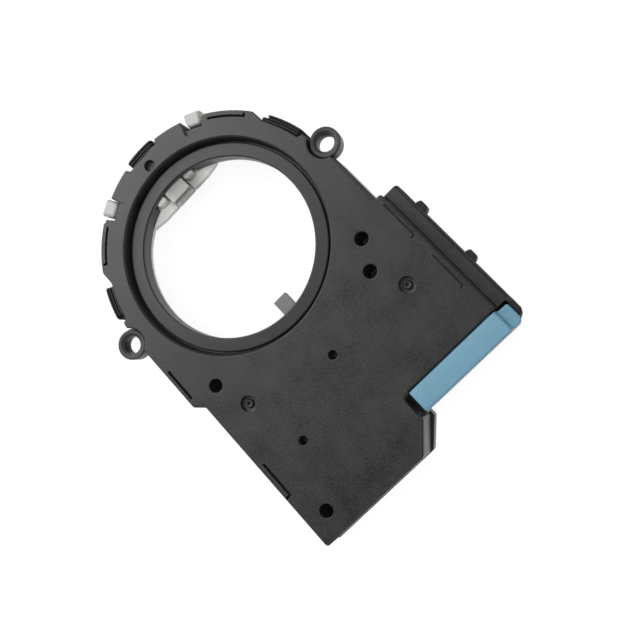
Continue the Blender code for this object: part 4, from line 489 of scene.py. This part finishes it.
def rotor_skin():
    """Ring with its window: every row of the profile is a circle, and below the window's top the bore
    moves out to a flat wall, radius equal to that wall's distance over the cosine, inside its width."""
    near = math.degrees(math.asin(WINDOW_HALF / BORE_R))
    far = math.degrees(math.atan2(WINDOW_HALF, WINDOW_X))
    turn = np.append(np.linspace(180.0 + near, 540.0 - near, 300), np.linspace(540.0 - far, 540.0 + far, 41))
    bore = [(23.9, 9.3, 1), (23.9, 11.45, 1), (23.85, 11.5, 1), (22.3, 11.5, 1), (22.18, 11.6, 1)]
    bore += [(22.12, WINDOW_TOP, 1), (22.12, WINDOW_TOP, 0), (BORE_R, ROTOR_TOP - 0.4, 0)]
    bore += [(22.13, ROTOR_TOP - 0.2, 0), (22.22, ROTOR_TOP - 0.07, 0)]
    bore += [(22.38, ROTOR_TOP, 0), (22.43, ROTOR_TOP, 0)]
    outside = [(25.5 + d, z, 0) for d, z in over(0.32, ROTOR_TOP)] + [(25.5, 14.82, 0), (25.52, 14.8, 0)]
    outside += [(26.9, 14.8, 0), (27.0, 14.75, 0), (27.05, 14.65, 0), (27.05, 14.45, 0), (25.1, 14.45, 0)]
    outside += [(24.95, 10.8, 0), (24.95, 9.45, 0), (24.85, 9.33, 0), (24.75, 9.3, 0), (23.9, 9.3, 0)]
    radius, height, cut = np.array(bore + outside).T[:, :, None]
    wall = WINDOW_X / np.maximum(np.abs(np.cos(np.radians(turn))), 0.5)
    inside = (np.abs(turn - 540.0) < far + 1e-6) & (cut > 0)
    radius = np.where(inside, np.maximum(radius, wall), np.broadcast_to(radius, inside.shape))
    x = radius * np.cos(np.radians(turn))
    y = radius * np.sin(np.radians(turn))
    return grid(np.stack([x, y, np.broadcast_to(height, x.shape)], axis=-1))


def gear_line(teeth, module, phase):
    """Involute gear: on each flank the half tooth angle at a radius is the half angle on the pitch circle
    plus inv(20 degrees) minus inv(arccos(base over radius)), with inv(a) = tan(a) - a."""
    pressure = math.radians(20.0)
    play = 0.12
    pitch = module * teeth / 2
    base = pitch * math.cos(pressure)
    radius = np.append(pitch - 1.25 * module, np.linspace(max(base, pitch - 1.2 * module), pitch + module, 7))
    opening = np.arccos(np.minimum(1.0, base / np.maximum(radius, radius[1])))
    half = (math.pi * module / 2 - play) / (2 * pitch) + math.tan(pressure) - pressure
    half = half - (np.tan(opening) - opening)
    flank = np.concatenate([-half, half[::-1]])
    reach = np.tile(np.concatenate([radius, radius[::-1]]), teeth)
    turn = math.radians(phase) + (np.arange(teeth)[:, None] * math.tau / teeth + flank).ravel()
    return np.column_stack([reach * np.cos(turn), reach * np.sin(turn)])


def gear_band(line, low, high, inner):
    """Toothed band between two heights, closed inwards by level faces to a smaller radius."""
    turn = np.arctan2(line[:, 1], line[:, 0])
    core = inner * np.column_stack([np.cos(turn), np.sin(turn)])
    rows = [(core, high), (line, high), (line, low), (core, low)]
    return grid(np.stack([np.column_stack([r, np.full(len(r), z)]) for r, z in rows]))


TEETH = 75
MODULE = 0.7
rotor = [rotor_skin(), gear_band(gear_line(TEETH, MODULE, 2.0), 10.5, 14.46, 24.9)]
made("rotor_ring", "rotor_gear_ring", "rotor", smooth_black, rotor)

# Driver ring
# The white acetal ring seated under the rotor and turned by the column's hub, moulded in one piece: a flat
# ring with two wings across the bore, a tongue between two slits, a cheek on each side, and a key opposite.
white_acetal = plastic("white_acetal", (0.37, 0.375, 0.358), 0.45, 0.05, 5000.0, 0.08)


def paint_shade_and_light(material, share):
    """Paint shade and light into a finish by place: darker towards the key's side, down to share of the
    colour, and across the ring darker near the middle on the tongue and lighter out on the wings.
    """
    tree = material.node_tree
    shader = tree.nodes["Principled BSDF"]
    unshaded_colour = shader.inputs["Base Color"].links[0].from_socket
    place = tree.nodes.new("ShaderNodeTexCoord")
    axes = tree.nodes.new("ShaderNodeSeparateXYZ")
    tree.links.new(place.outputs["Object"], axes.inputs["Vector"])
    reach = tree.nodes.new("ShaderNodeMapRange")
    reach.inputs["From Min"].default_value = -0.03
    reach.inputs["From Max"].default_value = -0.005
    reach.inputs["To Min"].default_value = 1.0
    reach.inputs["To Max"].default_value = share
    tree.links.new(axes.outputs["X"], reach.inputs["Value"])
    aside = tree.nodes.new("ShaderNodeMath")
    aside.operation = "ABSOLUTE"
    tree.links.new(axes.outputs["Y"], aside.inputs[0])
    painted_light_across = tree.nodes.new("ShaderNodeMapRange")
    painted_light_across.inputs["From Min"].default_value = 0.0029
    painted_light_across.inputs["From Max"].default_value = 0.0065
    painted_light_across.inputs["To Min"].default_value = 0.85
    painted_light_across.inputs["To Max"].default_value = 1.65
    tree.links.new(aside.outputs["Value"], painted_light_across.inputs["Value"])
    amount = tree.nodes.new("ShaderNodeMath")
    amount.operation = "MULTIPLY"
    tree.links.new(reach.outputs["Result"], amount.inputs[0])
    tree.links.new(painted_light_across.outputs["Result"], amount.inputs[1])
    painted_tone = tree.nodes.new("ShaderNodeVectorMath")
    painted_tone.operation = "SCALE"
    tree.links.new(unshaded_colour, painted_tone.inputs["Vector"])
    tree.links.new(amount.outputs["Value"], painted_tone.inputs["Scale"])
    tree.links.new(painted_tone.outputs["Vector"], shader.inputs["Base Color"])


# Painted shade and light on the white acetal: darker towards the key and on the tongue, lighter on the wings
paint_shade_and_light(white_acetal, 0.34)
DRIVER_TOP = 11.2
DRIVER_LOW = 9.6
DRIVER_INNER = 22.6
DRIVER_OUTER = 23.6
WING_END = 11.6
CHORD_X = -18.5
TONGUE_X = -19.1
TONGUE_BACK = -22.55
TONGUE_HALF = 2.95
SLIT_X = -22.3
SLIT_FAR = 3.1
KEY_HALF = 1.97

turn_end = math.degrees(math.asin(WING_END / DRIVER_INNER))
upper_wing = [(-19.0, WING_END), (CHORD_X, 7.8), (CHORD_X, SLIT_FAR), (SLIT_X, SLIT_FAR)]
upper_wing += [(SLIT_X, TONGUE_HALF), (CHORD_X, TONGUE_HALF)]
inner = np.vstack([[(17.0, KEY_HALF)], ring_points(DRIVER_INNER, 5.0, 180.0 - turn_end), upper_wing])
inner = np.vstack([inner, other_side(inner)])
opening = moulded(inner, 0.14, 0.08)[::-1]
driver = slab(circle(DRIVER_OUTER, steps=240), DRIVER_LOW, DRIVER_TOP, 0.16, 0.12, [opening])
tongue = [(TONGUE_BACK, -TONGUE_HALF), (TONGUE_X, -TONGUE_HALF), (TONGUE_X, TONGUE_HALF)]
tongue = moulded(tongue + [(TONGUE_BACK, TONGUE_HALF)], 0.14, 0.08)
lid = slab(tongue, 13.2, 13.6, 0.22, 0.1)
driver += [(points - (points[:, :1] + 20.8) * (0.0, 0.0, 0.26), faces) for points, faces in lid]
throat = [(TONGUE_BACK, -TONGUE_HALF), (TONGUE_X, -TONGUE_HALF), (TONGUE_X, -2.55), (-22.2, -2.55)]
throat += [(-22.2, 2.55), (TONGUE_X, 2.55), (TONGUE_X, TONGUE_HALF), (TONGUE_BACK, TONGUE_HALF)]
throat = moulded(throat, 0.08, 0.06)
driver.append(band(throat, [(0.0, 13.3), (0.0, 11.5)]))
driver += slab(tongue, 11.0, 11.55, 0.06, 0.05)
for side in (1.0, -1.0):
    cheek = [(-22.3, 3.5), (-20.85, 3.5), (-20.65, 4.0), (-20.7, 5.8), (-21.0, 6.3), (-22.3, 6.3)]
    cheek = moulded(cheek, 0.3, 0.08)
    if side < 0:
        cheek = other_side(cheek)
    driver += slab(cheek, 11.0, 14.2, 0.4)
made("driver_with_wings", "driver_ring", "rotor", white_acetal, driver)

# Bearing ring
# The white acetal ring that carries the rotor from behind: a lip inside, a flange under the ring part, a key
# that stops it turning, and two sprung hooks that snap over the case's edge.
FLANGE_LOW = 4.25
FLANGE_TOP = 5.75
HOOK_TURN = 152.4
HOOK_HALF = 2.2

profile = [(25.25, 4.4), (25.25, 10.05), (25.4, 10.2), (26.75, 10.2), (26.9, 10.05), (26.9, 5.95)]
profile += [(27.1, FLANGE_TOP), (30.72, FLANGE_TOP), (30.85, 5.7), (30.9, 5.6), (30.9, 4.4)]
profile += [(30.75, FLANGE_LOW), (25.4, FLANGE_LOW), (25.25, 4.4)]
bearing = [turned(profile, (0.0, 0.0), 256)]


def tab(near, far):
    """Outline of a tab as wide as a hook, between two distances from the bore's axis."""
    return moulded([(near, -HOOK_HALF), (far, -HOOK_HALF), (far, HOOK_HALF), (near, HOOK_HALF)], 0.15)


for turn in (HOOK_TURN, -HOOK_TURN):
    web = tab(29.4, 34.9)
    arm = tab(33.1, 35.0)
    pad = moulded([(31.5, -1.7), (34.95, -2.15), (34.95, 2.15), (31.5, 1.7)], 0.42, 0.1)
    hook = slab(web, FLANGE_LOW + 0.12, FLANGE_TOP - 0.12) + slab(arm, FLANGE_LOW, 15.2)
    bearing += turned_to(hook + slab(pad, 13.9, 16.0, 0.6, 0.3), turn)
bearing += slab(tab(29.4, 32.25), FLANGE_LOW + 0.12, FLANGE_TOP - 0.12)
ring_acetal = plastic("natural_acetal", (0.3, 0.305, 0.29), 0.45, 0.05, 5000.0, 0.08)
made("snap_bearing_ring", "bearing_ring", "case", ring_acetal, bearing)

# Measuring gears
# Two small acetal gears behind the face turn with the rotor at different rates, and each carries a sintered
# magnet over a chip. A black plate staked to the housing's posts holds them in.


def finished(names, material):
    """Give a finish to nodes that keep their own shape."""
    for name in names:
        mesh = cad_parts[name].data
        mesh.materials.clear()
        mesh.materials.append(material)


sintered = plastic("sintered_ferrite", (0.035, 0.035, 0.038), 0.5, 0.25, 7000.0, 0.3)
sintered.node_tree.nodes["Principled BSDF"].inputs["Metallic"].default_value = 0.35
finished(["measuring_gear_1", "measuring_gear_2"], white_acetal)
finished(["magnet_1", "magnet_2"], sintered)
finished(["gear_bearing_plate"], black_case)

# Circuit board
# Glass-fibre board with a green solder mask, held on the tray's pads. Two field sensors, a controller and a
# regulator in black epoxy packages and four ceramic capacitors are soldered to it.
mask = plastic("green_solder_mask", (0.012, 0.085, 0.03), 0.3, 0.12, 2500.0, 0.3)
mask.node_tree.nodes["Principled BSDF"].inputs["Coat Weight"].default_value = 0.3
epoxy = plastic("black_epoxy_package", (0.014, 0.014, 0.015), 0.55, 0.3, 14000.0)
ceramic = plastic("fired_ceramic", (0.34, 0.24, 0.15), 0.5, 0.15, 9000.0, 0.25)
finished(["circuit_board"], mask)
finished(["sensor_chip_1", "sensor_chip_2", "microcontroller", "voltage_regulator"], epoxy)
finished([f"capacitor_{number}" for number in range(1, 5)], ceramic)

# Connector header
# Light blue glass-filled header clipped into the tray's mouth: a shroud for the plug, the long bar seen
# beside the face, and a lower step at its upper end. Eight tinned pins stand in it.
blue = plastic("light_blue_glass_filled_plastic", (0.09, 0.196, 0.264), 0.42, 0.05, 8000.0, 0.08)
HEADER_BACK = 47.0
HEADER_MOUTH = 61.2
CAVITY_BACK = 50.0
BAR_TOP = 17.7
BAR_END = 34.1


def along_x(patches):
    """Patches drawn in y and z over x, brought to x, y and z."""
    return [(points[:, [2, 0, 1]], faces) for points, faces in patches]


shell = moulded([(9.5, 2.3), (33.0, 2.3), (33.0, 15.0), (9.5, 15.0)], 0.15)
cavity = moulded([(11.4, 4.2), (31.1, 4.2), (31.1, 13.1), (11.4, 13.1)][::-1], 0.15)
header = slab(shell, HEADER_BACK, HEADER_MOUTH, 0.12, 0.12, [cavity])[:1]
rows = [(0.12, HEADER_MOUTH), (0.04, HEADER_MOUTH - 0.04), (0.0, HEADER_MOUTH - 0.12), (0.0, CAVITY_BACK)]
header.append(band(cavity, rows))
header.append(plate(HEADER_MOUTH, [moved(shell, -0.12 - GUARD), moved(cavity, 0.12)]))
header.append(plate(CAVITY_BACK, [cavity[::-1]]))
header.append(plate(HEADER_BACK, [moved(shell, -0.12 - GUARD)], down=True))
bar = [(8.0, 13.0), (BAR_END + 0.7, 13.0), (BAR_END + 0.6, 15.1), (BAR_END, BAR_TOP), (8.0, BAR_TOP)]
header += slab(moulded(bar, 0.3, 0.12), 55.7, 61.5, 0.5, 0.4)
header = along_x(header)
step = [(56.0, 31.1), (61.35, 31.1), (61.35, 36.6), (60.7, 37.5), (59.9, 37.6), (56.2, 37.6)]
low_step = slab(moulded(step, 0.45), 6.0, 15.2, 0.35, 0.2)
header += [(points - (points[:, 1:2] - 34.8) * (0.0, 0.0, 0.2), faces) for points, faces in low_step]
made("blue_header", "connector_header", "case", blue, header)

tinned = plastic("tinned_brass", (0.62, 0.61, 0.58), 0.28, 0.05, 6000.0)
tinned.node_tree.nodes["Principled BSDF"].inputs["Metallic"].default_value = 1.0
finished([f"connector_pin_{number}" for number in range(1, 9)], tinned)

# Rear tray
# The black tray that closes the box from behind: a floor with a low rim, a plate behind the rotor, three
# ribbed loops that snap over the housing's wedges, a stop beside one of them, the post at the ledge's end,
# and the ledge's two catches. What stands up from it has a coarser grain, and a black darker than the case's
# as painted shade.
# Rougher eroded grain, and a black darker than the case's that is painted shade
eroded_black_painted_shade = plastic("black_plastic_spark_eroded_painted_shade", (0.006, 0.0062, 0.0066), 0.7, 0.2, 3000.0, 0.2)
TRAY_ARC = 31.5
MOUTH_X = 60.95
RIM_TOP = 4.8
TRAY_FLOOR = 2.0
PLATE_TOP = 8.0
PLATE_LOW = 6.0
REAR_OPENING = 27.3
PLATE_R = 31.0
LOOP_TOP = 16.5


def tray_corners(inset):
    """Corners of the tray from above, with every side moved inwards by an inset."""
    left, right, low, top = 18.4 + inset, 68.72 - inset, -30.89 + inset, 39.35 - inset
    arc_r = TRAY_ARC + inset
    upper = math.degrees(math.acos(left / arc_r))
    lower = -math.degrees(math.acos((24.0 + inset) / arc_r))
    outline = [(24.0 + inset, low), (right, low), (right, 1.1 - inset), (62.85 - inset, 7.1 - inset)]
    outline += [(MOUTH_X - inset, 7.05 - inset), (MOUTH_X - inset, 36.6), (60.4 - inset, 37.5)]
    outline += [(60.1 - inset, top - 1.5), (58.7 - inset, top), (left, top)]
    return np.vstack([outline, ring_points(arc_r, upper, lower)])


# Floor with its low rim, the collar round the rotor's side of the box, and the plate behind the rotor
outside = moulded(tray_corners(0.0), 0.25)
outer = np.roll(tray_corners(0.0), -7, axis=0)[:-2]
inner = np.roll(tray_corners(2.2), -9, axis=0)[:-4]
low_end = [(MOUTH_X, 7.7), (MOUTH_X - 2.2, 7.7)]
wall = np.vstack([[(60.4, 37.8)], outer, low_end, inner[::-1], [(47.0, 37.15), (47.0, 37.8)]])
wall = moulded(wall, 0.16)
tray = [band(outside, [(0.0, TRAY_FLOOR)] + under(0.35, 0.0)), plate(TRAY_FLOOR, [outside])]
tray += [plate(0.0, [moved(outside, -0.35 - GUARD)], down=True)]
tray += [band(wall, over(0.12, RIM_TOP) + [(0.0, TRAY_FLOOR)]), plate(RIM_TOP, [moved(wall, -0.12 - GUARD)])]
upper = math.degrees(math.acos(18.6 / TRAY_ARC))
lower = -math.degrees(math.acos(24.2 / TRAY_ARC))
collar = np.vstack([ring_points(TRAY_ARC + 2.2, lower, upper), ring_points(TRAY_ARC + 0.02, upper, lower)])
tray += slab(moulded(collar, 0.1), RIM_TOP - 0.1, PLATE_TOP)
rear_hole = circle(REAR_OPENING, steps=240, hole=True)
tray += slab(circle(PLATE_R, steps=240), PLATE_LOW, PLATE_TOP, 0.12, 0.12, [rear_hole])
link = np.vstack([ring_points(TRAY_ARC + 1.0, -38.0, 50.0), ring_points(PLATE_R - 0.4, 50.0, -38.0)])
tray += slab(moulded(link, 0.1), PLATE_LOW + 0.02, PLATE_TOP - 0.02, 0.02, 0.02)


def snap_loop(near, far, half):
    """Loop bent round the bore's axis: three thin walls with grooves between, a window, and its foot.
    It is drawn flat, and then each point goes to its radius and to the angle of its arc."""
    frame_line = [(-half, PLATE_LOW), (half, PLATE_LOW), (half, LOOP_TOP - 0.6), (half - 0.5, LOOP_TOP)]
    frame_line = moulded(frame_line + [(0.5 - half, LOOP_TOP), (-half, LOOP_TOP - 0.6)], 0.2, 0.15)
    core = moulded([(0.4 - half, 6.3), (half - 0.4, 6.3), (half - 0.4, 15.7), (0.4 - half, 15.7)], 0.2, 0.15)
    gap = [(1.2 - half, 9.9), (half - 1.2, 9.9), (half - 1.2, 13.5), (1.2 - half, 13.5)]
    gap = moulded(gap[::-1], 0.15, 0.15)
    patches = slab(core, near + 0.1, far - 0.1, 0.01, 0.01, [gap])
    for first, last in ((near, near * 0.72 + far * 0.28), (near * 0.6 + far * 0.4, near * 0.38 + far * 0.62),
                        (near * 0.26 + far * 0.74, far)):
        patches += slab(frame_line, first, last, 0.12, 0.12, [gap])
    foot = moulded([(28.0, -half), (near + 0.6, -half), (near + 0.6, half), (28.0, half)], 0.1)
    patches = along_x(patches) + slab(foot, PLATE_LOW + 0.05, PLATE_TOP - 0.05)
    bent = []
    for points, faces in patches:
        turn = points[:, 1] / near
        x, y = points[:, 0] * np.cos(turn), points[:, 0] * np.sin(turn)
        bent.append((np.column_stack([x, y, points[:, 2]]), faces))
    return bent


# The loops at the ring's end and on its two sides, the stop, the post and the ledge's two catches
loops = turned_to(snap_loop(31.9, 34.15, 4.0), 180.0)
loops += turned_to(snap_loop(31.35, 33.15, 4.6), 109.2)
stop = np.vstack([ring_points(32.6, 117.0, 120.4), ring_points(30.9, 120.6, 117.0)])
loops += slab(moulded(stop, 0.12), PLATE_LOW + 0.05, 15.2, 0.3)
loops += turned_to(snap_loop(31.6, 33.65, 4.1), -110.0)
post = [(56.15, 37.75), (60.25, 37.75), (60.1, 38.4), (59.2, 39.1), (56.15, 39.15)]
loops += slab(moulded(post, 0.35), RIM_TOP - 0.05, 15.1, 0.6)
for x in (26.3, 42.55):
    tip = LEDGE_Y + 1.4
    nose = [(x - 1.5, 38.8), (x + 1.5, 38.8), (x + 1.5, LEDGE_Y + 0.56), (x + 1.0, tip - 0.02)]
    nose += [(x - 1.0, tip - 0.02), (x - 1.5, LEDGE_Y + 0.56)]
    loops += slab(moulded(nose, 0.12, 0.08), 8.2, 12.5, 0.25)
made("rear_tray", "rear_cover", "case", black_case, tray)
# The loops, stop, post and catches take the darker black: painted shade
made("tray_loops", "rear_cover", "case", eroded_black_painted_shade, loops)

# Camera
# Found from the photograph's bore circles, lugs and straight edges: it looks down from about 200 mm, leaning
# 15 degrees, on a picture 640 pixels wide. The rows of its turn are the picture's right, up and back.
FOCAL = 812.157
PICTURE = 640
camera = bpy.data.cameras.new("camera")
camera.sensor_width = 36.0
camera.lens = FOCAL / PICTURE * 36
camera.clip_start = 0.01
turn = np.array([[0.66953, 0.69764, -0.25501], [-0.71484, 0.69846, 0.03398], [0.20182, 0.15954, 0.96634]])
eye = (np.array([67.49, 34.72, 199.64]) - FROM_BORE) * 0.001
viewer = bpy.data.objects.new("camera", camera)
viewer.matrix_world = mathutils.Matrix.Translation(eye.tolist()) @ mathutils.Matrix(turn.T.tolist()).to_4x4()
bpy.context.scene.collection.objects.link(viewer)
bpy.context.scene.camera = viewer

# Paper
# A wide sheet of pale paper that the sensor lies on. A gap thinner than a hair keeps the two apart, and to
# the camera the sheet glows nearly white, so only the sensor's shadow is left on it.
PAPER_HALF = 2.0
PAPER_LEVEL = -0.0001


def floor_sheet():
    """Pale paper under the sensor: it shows as white to the camera with only the shadow left on it."""
    corners = PAPER_HALF * np.array([(-1, -1, 0), (1, -1, 0), (1, 1, 0), (-1, 1, 0)])
    corners = corners + (0.0, 0.0, PAPER_LEVEL)
    mesh = bpy.data.meshes.new("paper")
    mesh.from_pydata(corners.tolist(), [], [(0, 1, 2, 3)])
    paper = bpy.data.materials.new("white paper")
    paper.use_nodes = True
    tree = paper.node_tree
    tree.nodes["Principled BSDF"].inputs["Base Color"].default_value = (0.9, 0.9, 0.9, 1.0)
    tree.nodes["Principled BSDF"].inputs["Roughness"].default_value = 0.9
    path = tree.nodes.new("ShaderNodeLightPath")
    seen = tree.nodes.new("ShaderNodeMath")
    seen.operation = "MAXIMUM"
    tree.links.new(path.outputs["Is Camera Ray"], seen.inputs[0])
    tree.links.new(path.outputs["Is Glossy Ray"], seen.inputs[1])
    through = tree.nodes.new("ShaderNodeMath")
    through.operation = "MAXIMUM"
    tree.links.new(seen.outputs[0], through.inputs[0])
    tree.links.new(path.outputs["Is Transmission Ray"], through.inputs[1])
    glow = tree.nodes.new("ShaderNodeEmission")
    glow.inputs["Strength"].default_value = 0.91
    shade = tree.nodes.new("ShaderNodeBsdfDiffuse")
    shade.inputs["Color"].default_value = (0.1, 0.1, 0.1, 1.0)
    both = tree.nodes.new("ShaderNodeAddShader")
    tree.links.new(shade.outputs[0], both.inputs[0])
    tree.links.new(glow.outputs[0], both.inputs[1])
    mix = tree.nodes.new("ShaderNodeMixShader")
    tree.links.new(through.outputs[0], mix.inputs[0])
    tree.links.new(tree.nodes["Principled BSDF"].outputs[0], mix.inputs[1])
    tree.links.new(both.outputs[0], mix.inputs[2])
    tree.links.new(mix.outputs[0], tree.nodes["Material Output"].inputs["Surface"])
    mesh.materials.append(paper)
    sheet = bpy.data.objects.new("paper", mesh)
    bpy.context.scene.collection.objects.link(sheet)


floor_sheet()

# Room and lamps
# A dim grey room with a white backdrop round the horizon, which the camera and glossy surfaces see. One wide
# key softbox stands at the ring's end, and a softer one hangs overhead without a mirror image.
world = bpy.data.worlds.new("studio")
bpy.context.scene.world = world
world.use_nodes = True
tree = world.node_tree
room = tree.nodes["Background"]
room.inputs["Color"].default_value = (1.0, 1.0, 1.0, 1.0)
room.inputs["Strength"].default_value = 0.3
white = tree.nodes.new("ShaderNodeBackground")
white.inputs["Color"].default_value = (1.0, 1.0, 1.0, 1.0)
white.inputs["Strength"].default_value = 1.0
path = tree.nodes.new("ShaderNodeLightPath")
way = tree.nodes.new("ShaderNodeNewGeometry")
axes = tree.nodes.new("ShaderNodeSeparateXYZ")
tree.links.new(way.outputs["Incoming"], axes.inputs["Vector"])
rise = tree.nodes.new("ShaderNodeMath")
rise.operation = "ABSOLUTE"
tree.links.new(axes.outputs["Z"], rise.inputs[0])
backdrop = tree.nodes.new("ShaderNodeMapRange")
backdrop.inputs["From Min"].default_value = 0.1
backdrop.inputs["From Max"].default_value = 0.45
backdrop.inputs["To Min"].default_value = 1.0
backdrop.inputs["To Max"].default_value = 0.0
tree.links.new(rise.outputs["Value"], backdrop.inputs["Value"])
mirrored = tree.nodes.new("ShaderNodeMath")
mirrored.operation = "MULTIPLY"
tree.links.new(path.outputs["Is Glossy Ray"], mirrored.inputs[0])
tree.links.new(backdrop.outputs["Result"], mirrored.inputs[1])
shown = mirrored.outputs["Value"]
for ray in ("Is Camera Ray", "Is Transmission Ray"):
    either = tree.nodes.new("ShaderNodeMath")
    either.operation = "MAXIMUM"
    tree.links.new(shown, either.inputs[0])
    tree.links.new(path.outputs[ray], either.inputs[1])
    shown = either.outputs["Value"]
mix = tree.nodes.new("ShaderNodeMixShader")
tree.links.new(shown, mix.inputs[0])
tree.links.new(room.outputs[0], mix.inputs[1])
tree.links.new(white.outputs[0], mix.inputs[2])
tree.links.new(mix.outputs[0], tree.nodes["World Output"].inputs["Surface"])


def softbox(name, place, size, power, glossy=True):
    """Square soft lamp at a place, turned to face the sensor; its mirror image may be left out."""
    lamp = bpy.data.lights.new(name, "AREA")
    lamp.shape = "SQUARE"
    lamp.size = size
    lamp.energy = power
    holder = bpy.data.objects.new(name, lamp)
    holder.location = place
    holder.visible_glossy = glossy
    way = mathutils.Vector((0.0, 0.0, 0.01)) - mathutils.Vector(place)
    holder.rotation_euler = way.to_track_quat("-Z", "Y").to_euler()
    bpy.context.scene.collection.objects.link(holder)


softbox("key softbox", (-0.495, -0.13, 0.45), 0.62, 5.25)
softbox("overhead softbox", (0.1, 0.1, 0.8), 0.5, 5.4, glossy=False)
bpy.context.scene.view_settings.view_transform = "Standard"
